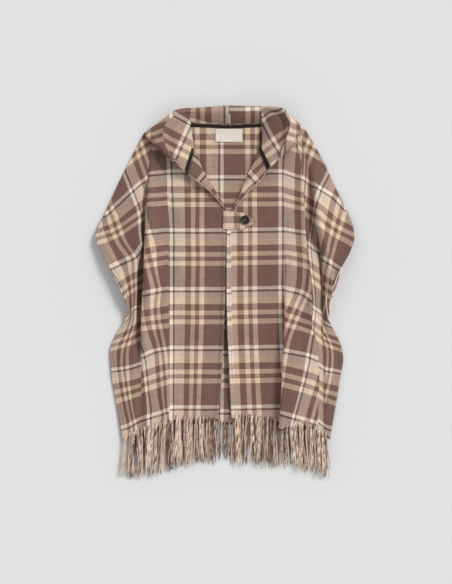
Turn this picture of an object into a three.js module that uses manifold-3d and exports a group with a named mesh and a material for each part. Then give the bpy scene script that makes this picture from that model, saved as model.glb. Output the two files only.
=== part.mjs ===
// A hooded check cape with a fringed hem, laid flat on its back on a table.
// Millimetres, +Z up from the table, +Y towards the hood. Left and right are the wearer's.
import * as THREE from "three";
import { mergeVertices } from "three/addons/utils/BufferGeometryUtils.js";
import Module from "manifold-3d";

const wasm = await Module();
wasm.setup();

// Driving sizes
const CLOTH = 2; // thickness of the woollen cloth
const SEAM_GAP = 0.3; // between pieces that meet at a seam or lie on each other
const PLEAT_STEP = 2.7; // between the middles of two layers pressed into a pleat
const STRIP = 5; // depth of the unwoven strip that holds the fringe's roots
const BUTTON = { diameter: 21, thickness: 4, x: 46, y: 164 };
const LABEL = { left: -22, right: 40, top: 374, bottom: 344, thickness: 1 };
const TAPE = { width: 7, thickness: 1, inset: 1.5 }; // inset from the seam on the hood's sides
const TAB_UNDERSIDE = 6.4; // the tab lies on both fronts, whose upper faces are here at 6

const COLOURS = {
  cloth: { color: 0xa08474, roughness: 0.95, metalness: 0 },
  tape: { color: 0x1c1815, roughness: 0.8, metalness: 0 },
  label: { color: 0xded9cd, roughness: 0.7, metalness: 0 },
  button: { color: 0x1f1c1a, roughness: 0.35, metalness: 0 },
  fringe: { color: 0xb59a86, roughness: 0.95, metalness: 0 },
};

const cape = new THREE.Group();
const addMesh = (name, geometry, finish) => {
  const mesh = new THREE.Mesh(geometry, new THREE.MeshStandardMaterial(COLOURS[finish]));
  mesh.name = name;
  cape.add(mesh);
  return mesh;
};

// A smooth curve through rows of numbers, read by their first column.
function through(rows) {
  const slope = (i, c) => {
    if (i === 0 || i === rows.length - 1) return null;
    const before = (rows[i][c] - rows[i - 1][c]) / (rows[i][0] - rows[i - 1][0]);
    const after = (rows[i + 1][c] - rows[i][c]) / (rows[i + 1][0] - rows[i][0]);
    return before * after <= 0 ? 0 : (2 * before * after) / (before + after);
  };
  return (at, c) => {
    const falling = rows[0][0] > rows.at(-1)[0];
    let i = rows.findIndex((row) => (falling ? row[0] < at : row[0] > at)) - 1;
    if (i < 0) i = (falling ? at >= rows[0][0] : at <= rows[0][0]) ? 0 : rows.length - 2;
    const span = rows[i + 1][0] - rows[i][0];
    const t = Math.min(Math.max((at - rows[i][0]) / span, 0), 1);
    const chord = (rows[i + 1][c] - rows[i][c]) / span;
    const m0 = (slope(i, c) ?? chord) * span;
    const m1 = (slope(i + 1, c) ?? chord) * span;
    const t2 = t * t;
    const t3 = t2 * t;
    return (
      (2 * t3 - 3 * t2 + 1) * rows[i][c] + (t3 - 2 * t2 + t) * m0 +
      (3 * t2 - 2 * t3) * rows[i + 1][c] + (t3 - t2) * m1
    );
  };
}

// Rails of one front run from the shoulder to the hem. Columns: y, x, height of the cloth's middle.
const RIGHT_FRONT = {
  side: [
    [365, -185, 3.5], [263, -237, 3.5], [178, -276, 5], [151, -289, 8], [125, -296.6, 14],
    [93, -283, 20], [56, -264, 24], [-3, -236, 24], [-43, -223, 17], [-68, -230, 9],
    [-102, -251, 3.6], [-139, -264, 3.6], [-178, -262, 3.6], [-261, -248, 4], [-339, -235, 6.6],
  ],
  sleeveMiddle: [
    [365, -177, 4], [279, -205, 6], [210, -228, 9], [137, -246, 14], [56, -237, 20],
    [-3, -221, 21], [-43, -215, 17], [-77, -221, 11], [-135, -239, 8], [-331, -220, 8],
  ],
  sleeveRidge: [
    [365, -170, 4], [261, -186, 9], [210, -193, 16], [107, -192, 22], [33, -208, 22],
    [-10, -206, 20], [-66, -205, 14], [-112, -209, 12], [-325, -204, 12],
  ],
  valleyFar: [
    [365, -166, 4], [261, -181, 7.5], [210, -187, 6], [107, -191, 4.2], [33, -199, 4.2],
    [-66, -201, 4.6], [-123, -202, 7], [-181, -201, 9], [-319, -197, 9],
  ],
  valley: [
    [365, -162, 4], [261, -177, 6], [210, -178.5, 4.6], [107, -178.5, 4], [33, -183, 4],
    [-66, -188, 4.5], [-123, -192, 7], [-181, -192, 9], [-319, -188, 9],
  ],
  frontRidge: [
    [365, -156, 4], [261, -171, 14], [210, -173.5, 22], [112, -174, 27], [33, -178, 27],
    [-10, -180, 26], [-66, -183.5, 24], [-130, -187, 18], [-169, -186, 13], [-315, -178, 13],
  ],
  slope: [[365, -143, 4], [261, -150, 8], [112, -150, 14], [-130, -161, 13], [-307, -156, 12]],
  foldCrest: [[365, -124, 4], [210, -129, 6], [72, -130, 7], [-20, -129, 11], [-130, -127, 17], [-298, -128, 21]],
  foldFoot: [[365, -115, 4], [210, -117, 6], [-20, -118, 5], [-130, -118, 4.2], [-291, -118, 6.6]],
  middle: [[365, -94, 3.6], [279, -80, 4.4], [183, -46, 5], [137, -46, 5], [-130, -64, 5.5], [-291, -69, 7]],
  neckAndCentre: [
    [365, -79, 3.4], [325, -71, 4.4], [284, -55, 4.6], [224, -20, 4.6], [183, 2, 5],
    [137, 2, 5], [1, 2, 3.6], [-89, -2, 3.6], [-185, -7, 3.8], [-293, -15, 6.6],
  ],
};

const LEFT_FRONT = {
  neckAndCentre: [
    [376, 86, 3.4], [316, 74, 4.4], [270, 53, 4.6], [208, 26, 4.6], [160, 5, 5],
    [137, 4, 5], [-20, 4, 5.5], [-89, 6, 6], [-201, 11, 8], [-286, 15, 9],
  ],
  middle: [[376, 99, 3.6], [279, 85, 4.4], [183, 62, 5], [137, 62, 5], [-130, 71, 5.5], [-286, 71, 6.7]],
  // columns: y, x of the pleat's edge, height of the layer under it, rise of the cloth over the
  // edge, reach of the hidden layers beyond the edge (below zero it is an open slope)
  pleat: [
    [376, 126, 4, 0, -10], [210, 136, 5, 0.5, -12], [118, 140, 5.5, 1.2, -14], [15, 139, 5, 4, -8],
    [-13, 138, 4.4, 6.6, 0], [-66, 136, 3.8, 9, 21], [-130, 134, 3.8, 10, 31],
    [-227, 129, 4.2, 10.5, 46], [-314, 124, 6.6, 10, 53],
  ],
  slope: [[376, 145, 4], [279, 156, 7], [137, 166, 10], [-20, 170, 12], [-130, 172, 13], [-302, 180, 15]],
  frontRidge: [
    [376, 159, 4], [279, 176, 12], [210, 181, 17], [132, 184, 18], [49, 194, 20], [-10, 198, 22],
    [-72, 198, 20], [-114, 209, 14], [-194, 216, 12], [-316, 212, 12],
  ],
  valleyNear: [
    [376, 165, 4], [279, 186, 9], [236, 195, 6], [176, 200, 4.4], [118, 205, 4], [77, 214, 4],
    [3, 222, 4], [-29, 221, 4.5], [-61, 222.5, 6], [-114, 219, 9], [-194, 225, 10], [-325, 219, 9],
  ],
  valley: [
    [376, 169, 4], [279, 191, 9], [236, 202, 6], [210, 205.5, 4.6], [176, 207.5, 4.2], [150, 209.5, 4],
    [118, 218, 4], [100, 223, 4], [77, 229, 4], [40, 233, 4], [3, 234, 4], [-29, 228, 4.5],
    [-61, 227.5, 6], [-114, 226, 9], [-194, 232, 10], [-325, 225, 9],
  ],
  sleeveRidge: [
    [376, 174, 4], [279, 199, 13], [236, 207, 20], [210, 210, 24], [176, 212, 26], [150, 214, 27],
    [118, 222.5, 26], [100, 227.5, 25], [77, 233, 24], [40, 237.5, 22], [3, 238.5, 19],
    [-29, 232, 14], [-61, 231.5, 10], [-114, 241, 11], [-194, 244, 12], [-330, 232, 9],
  ],
  sleeveMiddle: [
    [376, 178, 3.6], [279, 216, 11], [210, 238, 16], [118, 256, 19], [77, 254, 21], [40, 250, 21],
    [3, 244, 18], [-29, 236, 13], [-61, 235, 8], [-114, 252, 8], [-194, 255, 9], [-332, 237, 8],
  ],
  side: [
    [376, 182, 3.4], [300, 225, 3.5], [250, 248, 4], [199, 273, 5], [155, 292, 8], [125, 296.4, 13],
    [93, 287, 19], [56, 267, 23], [10, 249, 23], [-13, 241, 19], [-38, 238, 13], [-63, 238, 8],
    [-93, 252, 3.6], [-128, 267, 3.6], [-155, 271, 3.6], [-194, 265, 3.6], [-261, 254, 4],
    [-335, 241, 6.6],
  ],
};

const FRONT_ROWS = 26; // steps from shoulder to hem

// Points of a front: one row for each step down, one column for each rail or point between rails.
function frontGrid(rails, between) {
  const lines = rails.map((rows) => ({ first: rows[0][0], last: rows.at(-1)[0], read: through(rows) }));
  const grid = [];
  for (let i = 0; i <= FRONT_ROWS; i++) {
    const anchors = lines.map(({ first, last, read }) => {
      const y = first + ((last - first) * i) / FRONT_ROWS;
      return new THREE.Vector3(read(y, 1), y, read(y, 2));
    });
    const section = new THREE.CatmullRomCurve3(anchors, false, "centripetal");
    const row = [];
    for (let k = 0; k < anchors.length - 1; k++)
      for (let j = 0; j < between[k]; j++)
        row.push(section.getPoint((k + j / between[k]) / (anchors.length - 1)));
    row.push(anchors.at(-1).clone());
    grid.push(row);
  }
  return grid;
}

// The knife pleat as six rails: two rounded turns, one under the other's edge.
function pleatRails(rows) {
  const read = through(rows);
  const turn = PLEAT_STEP / 2;
  const at = (y) => {
    const [edge, low, rise, reach] = [1, 2, 3, 4].map((c) => read(y, c));
    const closed = Math.min(Math.max(reach / 8, -1), 1);
    const step = rise / 4;
    const inner = edge + reach;
    return [
      [inner - 8, low],
      [inner - turn, low],
      [inner, low + step],
      [inner - turn * closed, low + 2 * step],
      [edge + turn * closed, low + 2 * step],
      [edge, low + 3 * step],
      [edge + turn, low + 4 * step],
    ];
  };
  const heights = [];
  for (let i = 0; i <= FRONT_ROWS; i++)
    heights.push(rows[0][0] + ((rows.at(-1)[0] - rows[0][0]) * i) / FRONT_ROWS);
  return [0, 1, 2, 3, 4, 5, 6].map((n) => heights.map((y) => [y, ...at(y)[n]]));
}

// Unit normals of a grid, on the side the given sign turns up.
function normals(grid, sign) {
  const rows = grid.length;
  const columns = grid[0].length;
  return grid.map((row, i) =>
    row.map((_, j) => {
      const along = new THREE.Vector3().subVectors(row[Math.min(j + 1, columns - 1)], row[Math.max(j - 1, 0)]);
      const down = new THREE.Vector3().subVectors(grid[Math.min(i + 1, rows - 1)][j], grid[Math.max(i - 1, 0)][j]);
      return along.cross(down).normalize().multiplyScalar(sign);
    }),
  );
}

// A closed wall between two grids of the same size; the first is its upper face.
function closeWall(upper, lower) {
  const rows = upper.length;
  const columns = upper[0].length;
  const positions = [...upper.flat(), ...lower.flat()].flatMap((p) => [p.x, p.y, p.z]);
  const top = (i, j) => i * columns + j;
  const bottom = (i, j) => rows * columns + i * columns + j;
  const index = [];
  const quad = (a, b, c, d) => index.push(a, b, c, a, c, d);
  for (let i = 0; i < rows - 1; i++)
    for (let j = 0; j < columns - 1; j++) {
      quad(top(i, j), top(i + 1, j), top(i + 1, j + 1), top(i, j + 1));
      quad(bottom(i, j), bottom(i, j + 1), bottom(i + 1, j + 1), bottom(i + 1, j));
    }
  for (let j = 0; j < columns - 1; j++) {
    quad(top(0, j), top(0, j + 1), bottom(0, j + 1), bottom(0, j));
    quad(top(rows - 1, j), bottom(rows - 1, j), bottom(rows - 1, j + 1), top(rows - 1, j + 1));
  }
  for (let i = 0; i < rows - 1; i++) {
    quad(top(i + 1, 0), top(i, 0), bottom(i, 0), bottom(i + 1, 0));
    quad(top(i, columns - 1), top(i + 1, columns - 1), bottom(i + 1, columns - 1), bottom(i, columns - 1));
  }
  const geometry = new THREE.BufferGeometry();
  geometry.setAttribute("position", new THREE.Float32BufferAttribute(positions, 3));
  geometry.setIndex(index);
  return geometry;
}

const moved = (grid, directions, distance) =>
  grid.map((row, i) => row.map((p, j) => p.clone().addScaledVector(directions[i][j], distance)));

// A cloth wall round a grid of its middle points. Rows run down and columns to +X.
function clothWall(grid, above = CLOTH / 2, below = CLOTH / 2) {
  const up = normals(grid, -1);
  return closeWall(moved(grid, up, above), moved(grid, up, -below));
}

// Both fronts, each one cloth from the centre edge over the folds to the arm's edge
const rightGrid = frontGrid(Object.values(RIGHT_FRONT), [2, 3, 2, 1, 2, 2, 2, 2, 2, 2]);
addMesh("front_right", clothWall(rightGrid), "cloth");

const { pleat, ...leftRails } = LEFT_FRONT;
const { neckAndCentre, middle, ...outerRails } = leftRails;
const leftGrid = frontGrid(
  [neckAndCentre, middle, ...pleatRails(pleat), ...Object.values(outerRails)],
  [2, 2, 1, 1, 1, 2, 1, 1, 2, 2, 2, 1, 2, 2, 2],
);
addMesh("front_left", clothWall(leftGrid), "cloth");

// The back, one flat panel on the table
const BACK_OUTLINE = {
  neck: [[-79, 387], [-46, 385], [9, 383], [48, 384], [85, 387]],
  leftSide: [
    [133, 384], [178, 375], [223, 300], [246, 250], [270, 199], [290, 155], [294, 125], [285, 93],
    [267, 55], [258, 11], [249, -13], [243, -38], [239, -64], [250, -93], [264, -128], [268, -155],
    [262, -194], [251, -261], [239, -330],
  ],
  hem: [[186, -314], [126, -302], [62, -299], [2, -300], [-57, -299], [-126, -300], [-172, -312]],
  rightSide: [
    [-233, -332], [-246, -261], [-260, -178], [-261, -139], [-248, -102], [-228, -68], [-221, -43],
    [-234, -3], [-261, 56], [-279, 93], [-292, 125], [-286, 151], [-274, 178], [-236, 263],
    [-183, 361], [-131, 379],
  ],
};
function plate(points, bottom, thickness) {
  const shape = new THREE.Shape(points.map(([x, y]) => new THREE.Vector2(x, y)));
  const geometry = new THREE.ExtrudeGeometry(shape, { depth: thickness, bevelEnabled: false });
  return geometry.translate(0, 0, bottom);
}
addMesh("back", plate(Object.values(BACK_OUTLINE).flat(), 0, CLOTH), "cloth");

// The hood in two halves, sewn at the centre back. Columns: the neck seam, the highest line and the
// outer border, each x, y and height of the cloth's middle, then the underside's height where the
// crown is folded in below, so that it is solid there.
const HOOD_RIGHT = [
  { seam: [9, 384, 3.2], crest: [9, 412, 26], border: [9, 426.2, 12], underside: 0 },
  { seam: [-46, 385.6, 3.4], crest: [-46, 413, 28], border: [-46, 425, 12], underside: 0 },
  { seam: [-78, 388, 4.2], crest: [-103, 411, 30], border: [-113, 423, 14], underside: 2.6 },
  { seam: [-77, 369, 6], crest: [-130, 400, 34], border: [-139, 404, 24] },
  { seam: [-74, 346, 7], crest: [-141, 376, 32], border: [-161, 384, 14] },
  { seam: [-71, 327, 7.6], crest: [-140, 351, 30], border: [-183, 363, 10] },
  { seam: [-75, 305, 13], crest: [-136, 328, 29], border: [-158, 332, 20] },
  { seam: [-81, 279, 19], crest: [-108, 293, 25], border: [-129, 307, 24] },
];
const HOOD_LEFT = [
  { seam: [9, 384, 3.2], crest: [9, 412, 26], border: [9, 426.2, 12], underside: 0 },
  { seam: [48, 385.6, 3.4], crest: [48, 412, 28], border: [48, 424, 12], underside: 0 },
  { seam: [84, 388, 4.2], crest: [94, 417, 33], border: [103, 421, 20], underside: 2.6 },
  { seam: [81, 365, 6], crest: [130, 413, 37], border: [136, 411, 26] },
  { seam: [80, 342, 7], crest: [144, 394, 38], border: [154, 395, 22] },
  { seam: [78.4, 324.4, 7.6], crest: [146, 378, 36], border: [172, 382, 9] },
  { seam: [84.6, 308.8, 10], crest: [141, 359, 32], border: [165, 353, 9] },
  { seam: [90.8, 293.2, 12.5], crest: [132, 334, 25], border: [155, 331, 10] },
  { seam: [97, 277.6, 14], crest: [116, 297, 17], border: [133, 316, 14] },
];
const HOOD_STEPS = 2; // steps between two rows of the hood's table
const SEAM_TO_CREST = 5;
const CREST_TO_BORDER = 3;

// Arched points from the neck seam over the crest to the border, for each step round the neck.
function hoodGrid(rows) {
  const line = (key) => new THREE.CatmullRomCurve3(rows.map((r) => new THREE.Vector3(...r[key])), false, "centripetal");
  const [seam, crest, border] = ["seam", "crest", "border"].map(line);
  const steps = (rows.length - 1) * HOOD_STEPS;
  const grid = [];
  for (let i = 0; i <= steps; i++) {
    const [a, b, c] = [seam, crest, border].map((curve) => curve.getPoint(i / steps));
    const arch = (from, to, t, bulge) => {
      const p = from.clone().lerp(to, t);
      p.z += bulge * Math.sin(Math.PI * t);
      return p;
    };
    const row = [];
    for (let k = 0; k < SEAM_TO_CREST; k++) row.push(arch(a, b, k / SEAM_TO_CREST, 4));
    for (let k = 0; k <= CREST_TO_BORDER; k++) row.push(arch(b, c, k / CREST_TO_BORDER, 3));
    grid.push(row);
  }
  return grid;
}

function hoodHalf(rows, sign, centreGap) {
  const grid = hoodGrid(rows);
  grid[0].forEach((p) => { p.x += centreGap; });
  const up = normals(grid, sign);
  const upper = moved(grid, up, CLOTH / 2);
  const lower = moved(grid, up, -CLOTH / 2).map((row, i) => {
    const underside = rows[Math.round(i / HOOD_STEPS)].underside;
    return underside === undefined ? row : grid[i].map((p) => new THREE.Vector3(p.x, p.y, underside));
  });
  return { grid, up, upper, lower };
}
const hoodRight = hoodHalf(HOOD_RIGHT, 1, -SEAM_GAP / 2);
const hoodLeft = hoodHalf(HOOD_LEFT, -1, SEAM_GAP / 2);
const turned = (grid) => grid.map((row) => [...row].reverse());
addMesh("hood_right", closeWall(turned(hoodRight.upper), turned(hoodRight.lower)), "cloth");
addMesh("hood_left", closeWall(hoodLeft.upper, hoodLeft.lower), "cloth");

// The turned-back front corners, from the roll line to the edge. Columns as above.
const LAPEL_RIGHT = [
  { roll: [-69, 324, 7.2], edge: [-80, 276.5, 19] },
  { roll: [-53, 285, 7.2], edge: [-63, 256, 18] },
  { roll: [-34, 249, 7.2], edge: [-45, 238, 16] },
  { roll: [-18, 225, 7.2], edge: [-27, 222, 12.5] },
  { roll: [-6, 204, 7], edge: [-12, 205, 9.2] },
  { roll: [1, 190, 7], edge: [-2, 193, 7.6] },
];
const LAPEL_LEFT = [
  { roll: [76.8, 323.3, 7.2], edge: [95.4, 276.6, 14] },
  { roll: [64, 292, 7.2], edge: [85, 258, 13] },
  { roll: [54, 271, 7.2], edge: [71, 245, 12] },
  { roll: [39, 235, 7.2], edge: [48, 222, 10] },
  { roll: [27, 208, 7], edge: [32, 201, 8.5] },
  { roll: [17, 189, 7], edge: [20, 187, 7.6] },
];
const LAPEL_STEPS = 12;
const LAPEL_BULGE = 2;
function lapelGrid(rows) {
  const line = (key) => new THREE.CatmullRomCurve3(rows.map((r) => new THREE.Vector3(...r[key])), false, "centripetal");
  const [roll, edge] = ["roll", "edge"].map(line);
  const grid = [];
  for (let i = 0; i <= LAPEL_STEPS; i++) {
    const [a, b] = [roll.getPoint(i / LAPEL_STEPS), edge.getPoint(i / LAPEL_STEPS)];
    grid.push([0, 0.33, 0.67, 1].map((t) => {
      const p = a.clone().lerp(b, t);
      p.z += LAPEL_BULGE * Math.sin(Math.PI * t) * Math.sin((Math.PI * i) / LAPEL_STEPS);
      return p;
    }));
  }
  return grid;
}
addMesh("lapel_right", clothWall(turned(lapelGrid(LAPEL_RIGHT))), "cloth");
addMesh("lapel_left", clothWall(lapelGrid(LAPEL_LEFT)), "cloth");

// Tape over the neck seam: one stretch on the back, and one on each side of the hood
const TAPE_BACK = [[-78, 385.4], [9, 381.4], [84, 385.4]];
const tapeOutline = [
  ...TAPE_BACK.map(([x, y]) => [x, y - TAPE.width]),
  ...[...TAPE_BACK].reverse(),
];
addMesh("neck_tape_back", plate(tapeOutline, CLOTH + SEAM_GAP, TAPE.thickness), "tape");

// A strip that lies on the hood beside its seam, made from the hood's points moved out.
function tapeStrip(half, firstRow, flip) {
  const grid = half.grid.slice(firstRow).map((row, i) => {
    const up = half.up[firstRow + i];
    const across = row[0].distanceTo(row[1]);
    return [0, 0.5, 1].map((share) => {
      const t = (TAPE.inset + share * TAPE.width) / across;
      const out = up[0].clone().lerp(up[1], t);
      return row[0].clone().lerp(row[1], t).addScaledVector(out, CLOTH / 2 + SEAM_GAP);
    });
  });
  const on = half.up.slice(firstRow).map((row) => [row[0], row[0], row[1]]);
  const [upper, lower] = [moved(grid, on, TAPE.thickness), grid];
  return flip ? closeWall(turned(upper), turned(lower)) : closeWall(upper, lower);
}
addMesh("neck_tape_right", tapeStrip(hoodRight, 10, true), "tape");
addMesh("neck_tape_left", tapeStrip(hoodLeft, 6, false), "tape");

// The bare label under the tape
const labelOutline = [
  [LABEL.left, LABEL.bottom], [LABEL.right, LABEL.bottom], [LABEL.right, LABEL.top], [LABEL.left, LABEL.top],
];
addMesh("label", plate(labelOutline, CLOTH + SEAM_GAP, LABEL.thickness), "label");

// The tab that joins the fronts, and its button
const TAB_OUTLINE = [[-3, 184], [-4, 144], [45, 142], [63, 156], [63, 164], [47, 180]];
const TAB_THICKNESS = 2.6;
addMesh("tab", plate(TAB_OUTLINE, TAB_UNDERSIDE, TAB_THICKNESS), "cloth");

const buttonProfile = [
  [0, 0], [0.8, 0], [1, 0.3], [1, 0.75], [0.92, 1], [0.78, 1], [0.68, 0.7], [0, 0.62],
].map(([r, h]) => new THREE.Vector2((r * BUTTON.diameter) / 2, h * BUTTON.thickness));
const buttonGeometry = new THREE.LatheGeometry(buttonProfile, 24).rotateX(Math.PI / 2);
const button = addMesh("button", buttonGeometry, "button");
button.position.set(BUTTON.x, BUTTON.y, TAB_UNDERSIDE + TAB_THICKNESS + SEAM_GAP);

// Fringe: a narrow strip beyond the hem, with four-sided strands fused into it
const STRAND = { width: 6.6, height: 4.2, segments: 4 };
const FLOOR_CLEARANCE = 0.5; // under the strands
const FRINGE = {
  right: { count: 24, restHeight: 8.3, from: -231, to: -19, fan: -3 },
  left: { count: 24, restHeight: 8.3, from: 20, to: 236, fan: 3 },
  back: { count: 44, restHeight: 2.7, from: -222, to: 229, fan: 0 },
};
// Columns: x, y of the fringe's tips.
const TIPS = through([[-240, -426], [-190, -428], [-134, -416], [-80, -398], [5, -398], [144, -404], [216, -425], [242, -430]]);

function solidOf(geometry) {
  const bare = new THREE.BufferGeometry();
  bare.setAttribute("position", geometry.getAttribute("position"));
  if (geometry.index) bare.setIndex(geometry.index);
  const merged = mergeVertices(bare, 1e-4);
  return new wasm.Manifold(new wasm.Mesh({
    numProp: 3,
    vertProperties: merged.getAttribute("position").array,
    triVerts: new Uint32Array(merged.index.array),
  }));
}
function geometryOf(solid) {
  const mesh = solid.getMesh();
  const geometry = new THREE.BufferGeometry();
  geometry.setAttribute("position", new THREE.BufferAttribute(new Float32Array(mesh.vertProperties), 3));
  geometry.setIndex(new THREE.BufferAttribute(new Uint32Array(mesh.triVerts), 1));
  return geometry;
}

// One strand from its root in the strip to its tip, waving a little and easing down to rest.
function strand(root, tip, wave) {
  const rings = [];
  for (let i = 0; i <= STRAND.segments; i++) {
    const t = i / STRAND.segments;
    const x = root.x + (tip.x - root.x) * t + wave * Math.sin(2 * Math.PI * t);
    const y = root.y + (tip.y - root.y) * t;
    const z = root.z + (tip.z - root.z) * Math.min(1, t * 1.6);
    const half = i === 0 ? 0.7 : Math.min(STRAND.height / 2, z - FLOOR_CLEARANCE);
    const wide = (STRAND.width / 2) * (i === 0 ? 0.8 : i === STRAND.segments ? 0.6 : 1);
    const low = new THREE.Vector3(x, y, z - half);
    const high = new THREE.Vector3(x, y, z + half);
    rings.push([new THREE.Vector3(x - wide, y, z), low, new THREE.Vector3(x + wide, y, z), high]);
  }
  const index = [];
  rings.slice(1).forEach((_, i) => {
    for (let k = 0; k < 4; k++) {
      const [a, b] = [4 * i + k, 4 * i + ((k + 1) % 4)];
      index.push(a, b + 4, a + 4, a, b, b + 4);
    }
  });
  const last = 4 * STRAND.segments;
  index.push(0, 2, 1, 0, 3, 2, last, last + 1, last + 2, last, last + 2, last + 3);
  const geometry = new THREE.BufferGeometry();
  geometry.setAttribute("position", new THREE.Float32BufferAttribute(rings.flat().flatMap((p) => [p.x, p.y, p.z]), 3));
  geometry.setIndex(index);
  return geometry;
}

// The highest place of the hem's line above a given x.
function hemAt(line, x) {
  let best = null;
  line.slice(1).forEach((b, i) => {
    const a = line[i];
    if ((a.x - x) * (b.x - x) > 0 || a.x === b.x) return;
    const p = a.clone().lerp(b, (x - a.x) / (b.x - a.x));
    if (!best || p.z > best.z) best = p;
  });
  return best;
}

function fringe(name, hem, facing, { count, restHeight, from, to, fan }) {
  const down = new THREE.Vector3(0, -1, 0);
  const strip = [0, 1].map((k) => hem.map((p) => p.clone().addScaledVector(down, SEAM_GAP + k * STRIP)));
  const directions = [facing, facing];
  const stripWall = closeWall(moved(strip, directions, CLOTH / 2), moved(strip, directions, -CLOTH / 2));
  const pieces = [solidOf(stripWall)];
  for (let i = 0; i < count; i++) {
    const x = from + ((to - from) * (i + 0.5)) / count;
    const root = hemAt(hem, x).addScaledVector(down, SEAM_GAP + STRIP / 2);
    if (hemAt(hem, x + STRAND.width).z - root.z > STRAND.height / 2) continue; // under a pleat's edge
    const lean = fan * Math.sin((Math.PI * (i + 0.5)) / count);
    const uneven = 5 * Math.sin(i * 2.4) + 4 * Math.sin(i * 5.1 + 1);
    const tip = new THREE.Vector3(x + lean, TIPS(x, 1) + Math.abs(uneven), restHeight);
    pieces.push(solidOf(strand(root, tip, 0.7 * Math.sin(i * 1.7))));
  }
  addMesh(name, geometryOf(wasm.Manifold.union(pieces)), "fringe");
}
fringe("fringe_right", rightGrid.at(-1), normals(rightGrid, -1).at(-1), FRINGE.right);
fringe("fringe_left", leftGrid.at(-1), normals(leftGrid, -1).at(-1), FRINGE.left);
const backHem = [...BACK_OUTLINE.hem, BACK_OUTLINE.rightSide[0]].reverse();
backHem.push(BACK_OUTLINE.leftSide.at(-1));
const backHemLine = backHem.map(([x, y]) => new THREE.Vector3(x, y, CLOTH / 2));
fringe("fringe_back", backHemLine, backHemLine.map(() => new THREE.Vector3(0, 0, 1)), FRINGE.back);

export default cape;
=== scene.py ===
# %% [markdown]
# # A hooded check cape, laid flat
# The real piece is a poncho of brushed twill in a brown, tan and white check. It lies on its back:
# a flat back panel, two fronts pressed into folds, a hood opened over the neck, two turned lapels,
# a tab with one button, and a twisted fringe on every hem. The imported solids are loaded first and
# stay where they are. Each is then stood for by a finer piece of the same form.

import math

import bpy
import numpy as np
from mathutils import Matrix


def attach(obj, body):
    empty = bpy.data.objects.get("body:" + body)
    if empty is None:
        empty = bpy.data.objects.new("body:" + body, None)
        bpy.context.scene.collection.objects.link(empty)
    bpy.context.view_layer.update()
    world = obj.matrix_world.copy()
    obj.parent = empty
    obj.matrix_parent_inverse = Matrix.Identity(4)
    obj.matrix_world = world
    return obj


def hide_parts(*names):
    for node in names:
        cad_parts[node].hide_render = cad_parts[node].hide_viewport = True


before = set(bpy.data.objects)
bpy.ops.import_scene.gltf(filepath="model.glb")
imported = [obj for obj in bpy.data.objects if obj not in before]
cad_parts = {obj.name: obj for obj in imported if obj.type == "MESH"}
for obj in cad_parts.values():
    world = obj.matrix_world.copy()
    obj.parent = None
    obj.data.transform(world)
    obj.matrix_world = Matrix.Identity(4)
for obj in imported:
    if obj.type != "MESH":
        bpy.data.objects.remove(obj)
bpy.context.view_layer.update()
bpy.ops.object.select_all(action="DESELECT")
print("solids:", len(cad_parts))

# %% [markdown]
# ## Stage
# The photograph looks straight down at a pale floor in soft light from the upper right. A long lens
# four metres up keeps the cape's outline as it is, and a broad sun gives the soft shadow on the left.
# The rest of the light comes from pale walls all round and little from straight above, where the
# camera hangs, so the bottoms of the folds stay dark.

# %% Stage
CAMERA_HEIGHT = 4.0
VIEW_LENGTH = 1.3432  # metres of floor along the picture's long side
VIEW_CENTRE = (0.0023, -0.00115)
SENSOR = 36  # millimetres
FLOOR_SIZE = 14
FLOOR_DROP = 0.0004  # a hair under the cape, so that the two don't flicker

bpy.ops.object.camera_add(location=(*VIEW_CENTRE, CAMERA_HEIGHT), rotation=(0, 0, 0))
camera = bpy.context.object
camera.data.sensor_width = SENSOR
camera.data.lens = SENSOR * CAMERA_HEIGHT / VIEW_LENGTH
bpy.context.scene.camera = camera

bpy.ops.mesh.primitive_plane_add(size=FLOOR_SIZE, location=(0, 0, -FLOOR_DROP))
floor = bpy.context.object
floor.name = "floor"
print("camera lens", round(camera.data.lens, 1))

# %% [markdown]
# The sun stands for a broad window. The walls are the world's light: full at the horizon and falling
# with the square of the height, so that little comes from straight above.

# %% Light
WINDOW_LIGHT = 1.95
WINDOW_WIDTH = math.radians(20)
WINDOW_TURN = (math.radians(-30), math.radians(42), 0)
WALL_LIGHT = 0.8
HORIZON_GAIN = 1.25
ZENITH_LOSS = 1.1

bpy.ops.object.light_add(type="SUN", location=(1, 1, 2))
window = bpy.context.object
window.data.energy = WINDOW_LIGHT
window.data.angle = WINDOW_WIDTH
window.rotation_euler = WINDOW_TURN

studio = bpy.data.worlds.new("studio")
bpy.context.scene.world = studio
studio.use_nodes = True
nodes, links = studio.node_tree.nodes, studio.node_tree.links
where = nodes.new("ShaderNodeTexCoord")
height = nodes.new("ShaderNodeSeparateXYZ")
square = nodes.new("ShaderNodeMath")
square.operation = "POWER"
square.inputs[1].default_value = 2
fall = nodes.new("ShaderNodeMath")
fall.operation = "MULTIPLY_ADD"
fall.inputs[1].default_value = -ZENITH_LOSS * WALL_LIGHT
fall.inputs[2].default_value = HORIZON_GAIN * WALL_LIGHT
wall = nodes["Background"]
wall.inputs["Color"].default_value = (1, 1, 1, 1)
links.new(where.outputs["Generated"], height.inputs[0])
links.new(height.outputs["Z"], square.inputs[0])
links.new(square.outputs[0], fall.inputs[0])
links.new(fall.outputs[0], wall.inputs["Strength"])
bpy.context.scene.view_settings.view_transform = "Standard"
print("light from the window", WINDOW_LIGHT, "and from the walls", WALL_LIGHT)

# %% [markdown]
# ## Shader maths
# A finish is wired from nodes. Two small classes let the wiring be written as sums: one wraps a
# socket, the other holds the material and adds every node.


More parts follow.
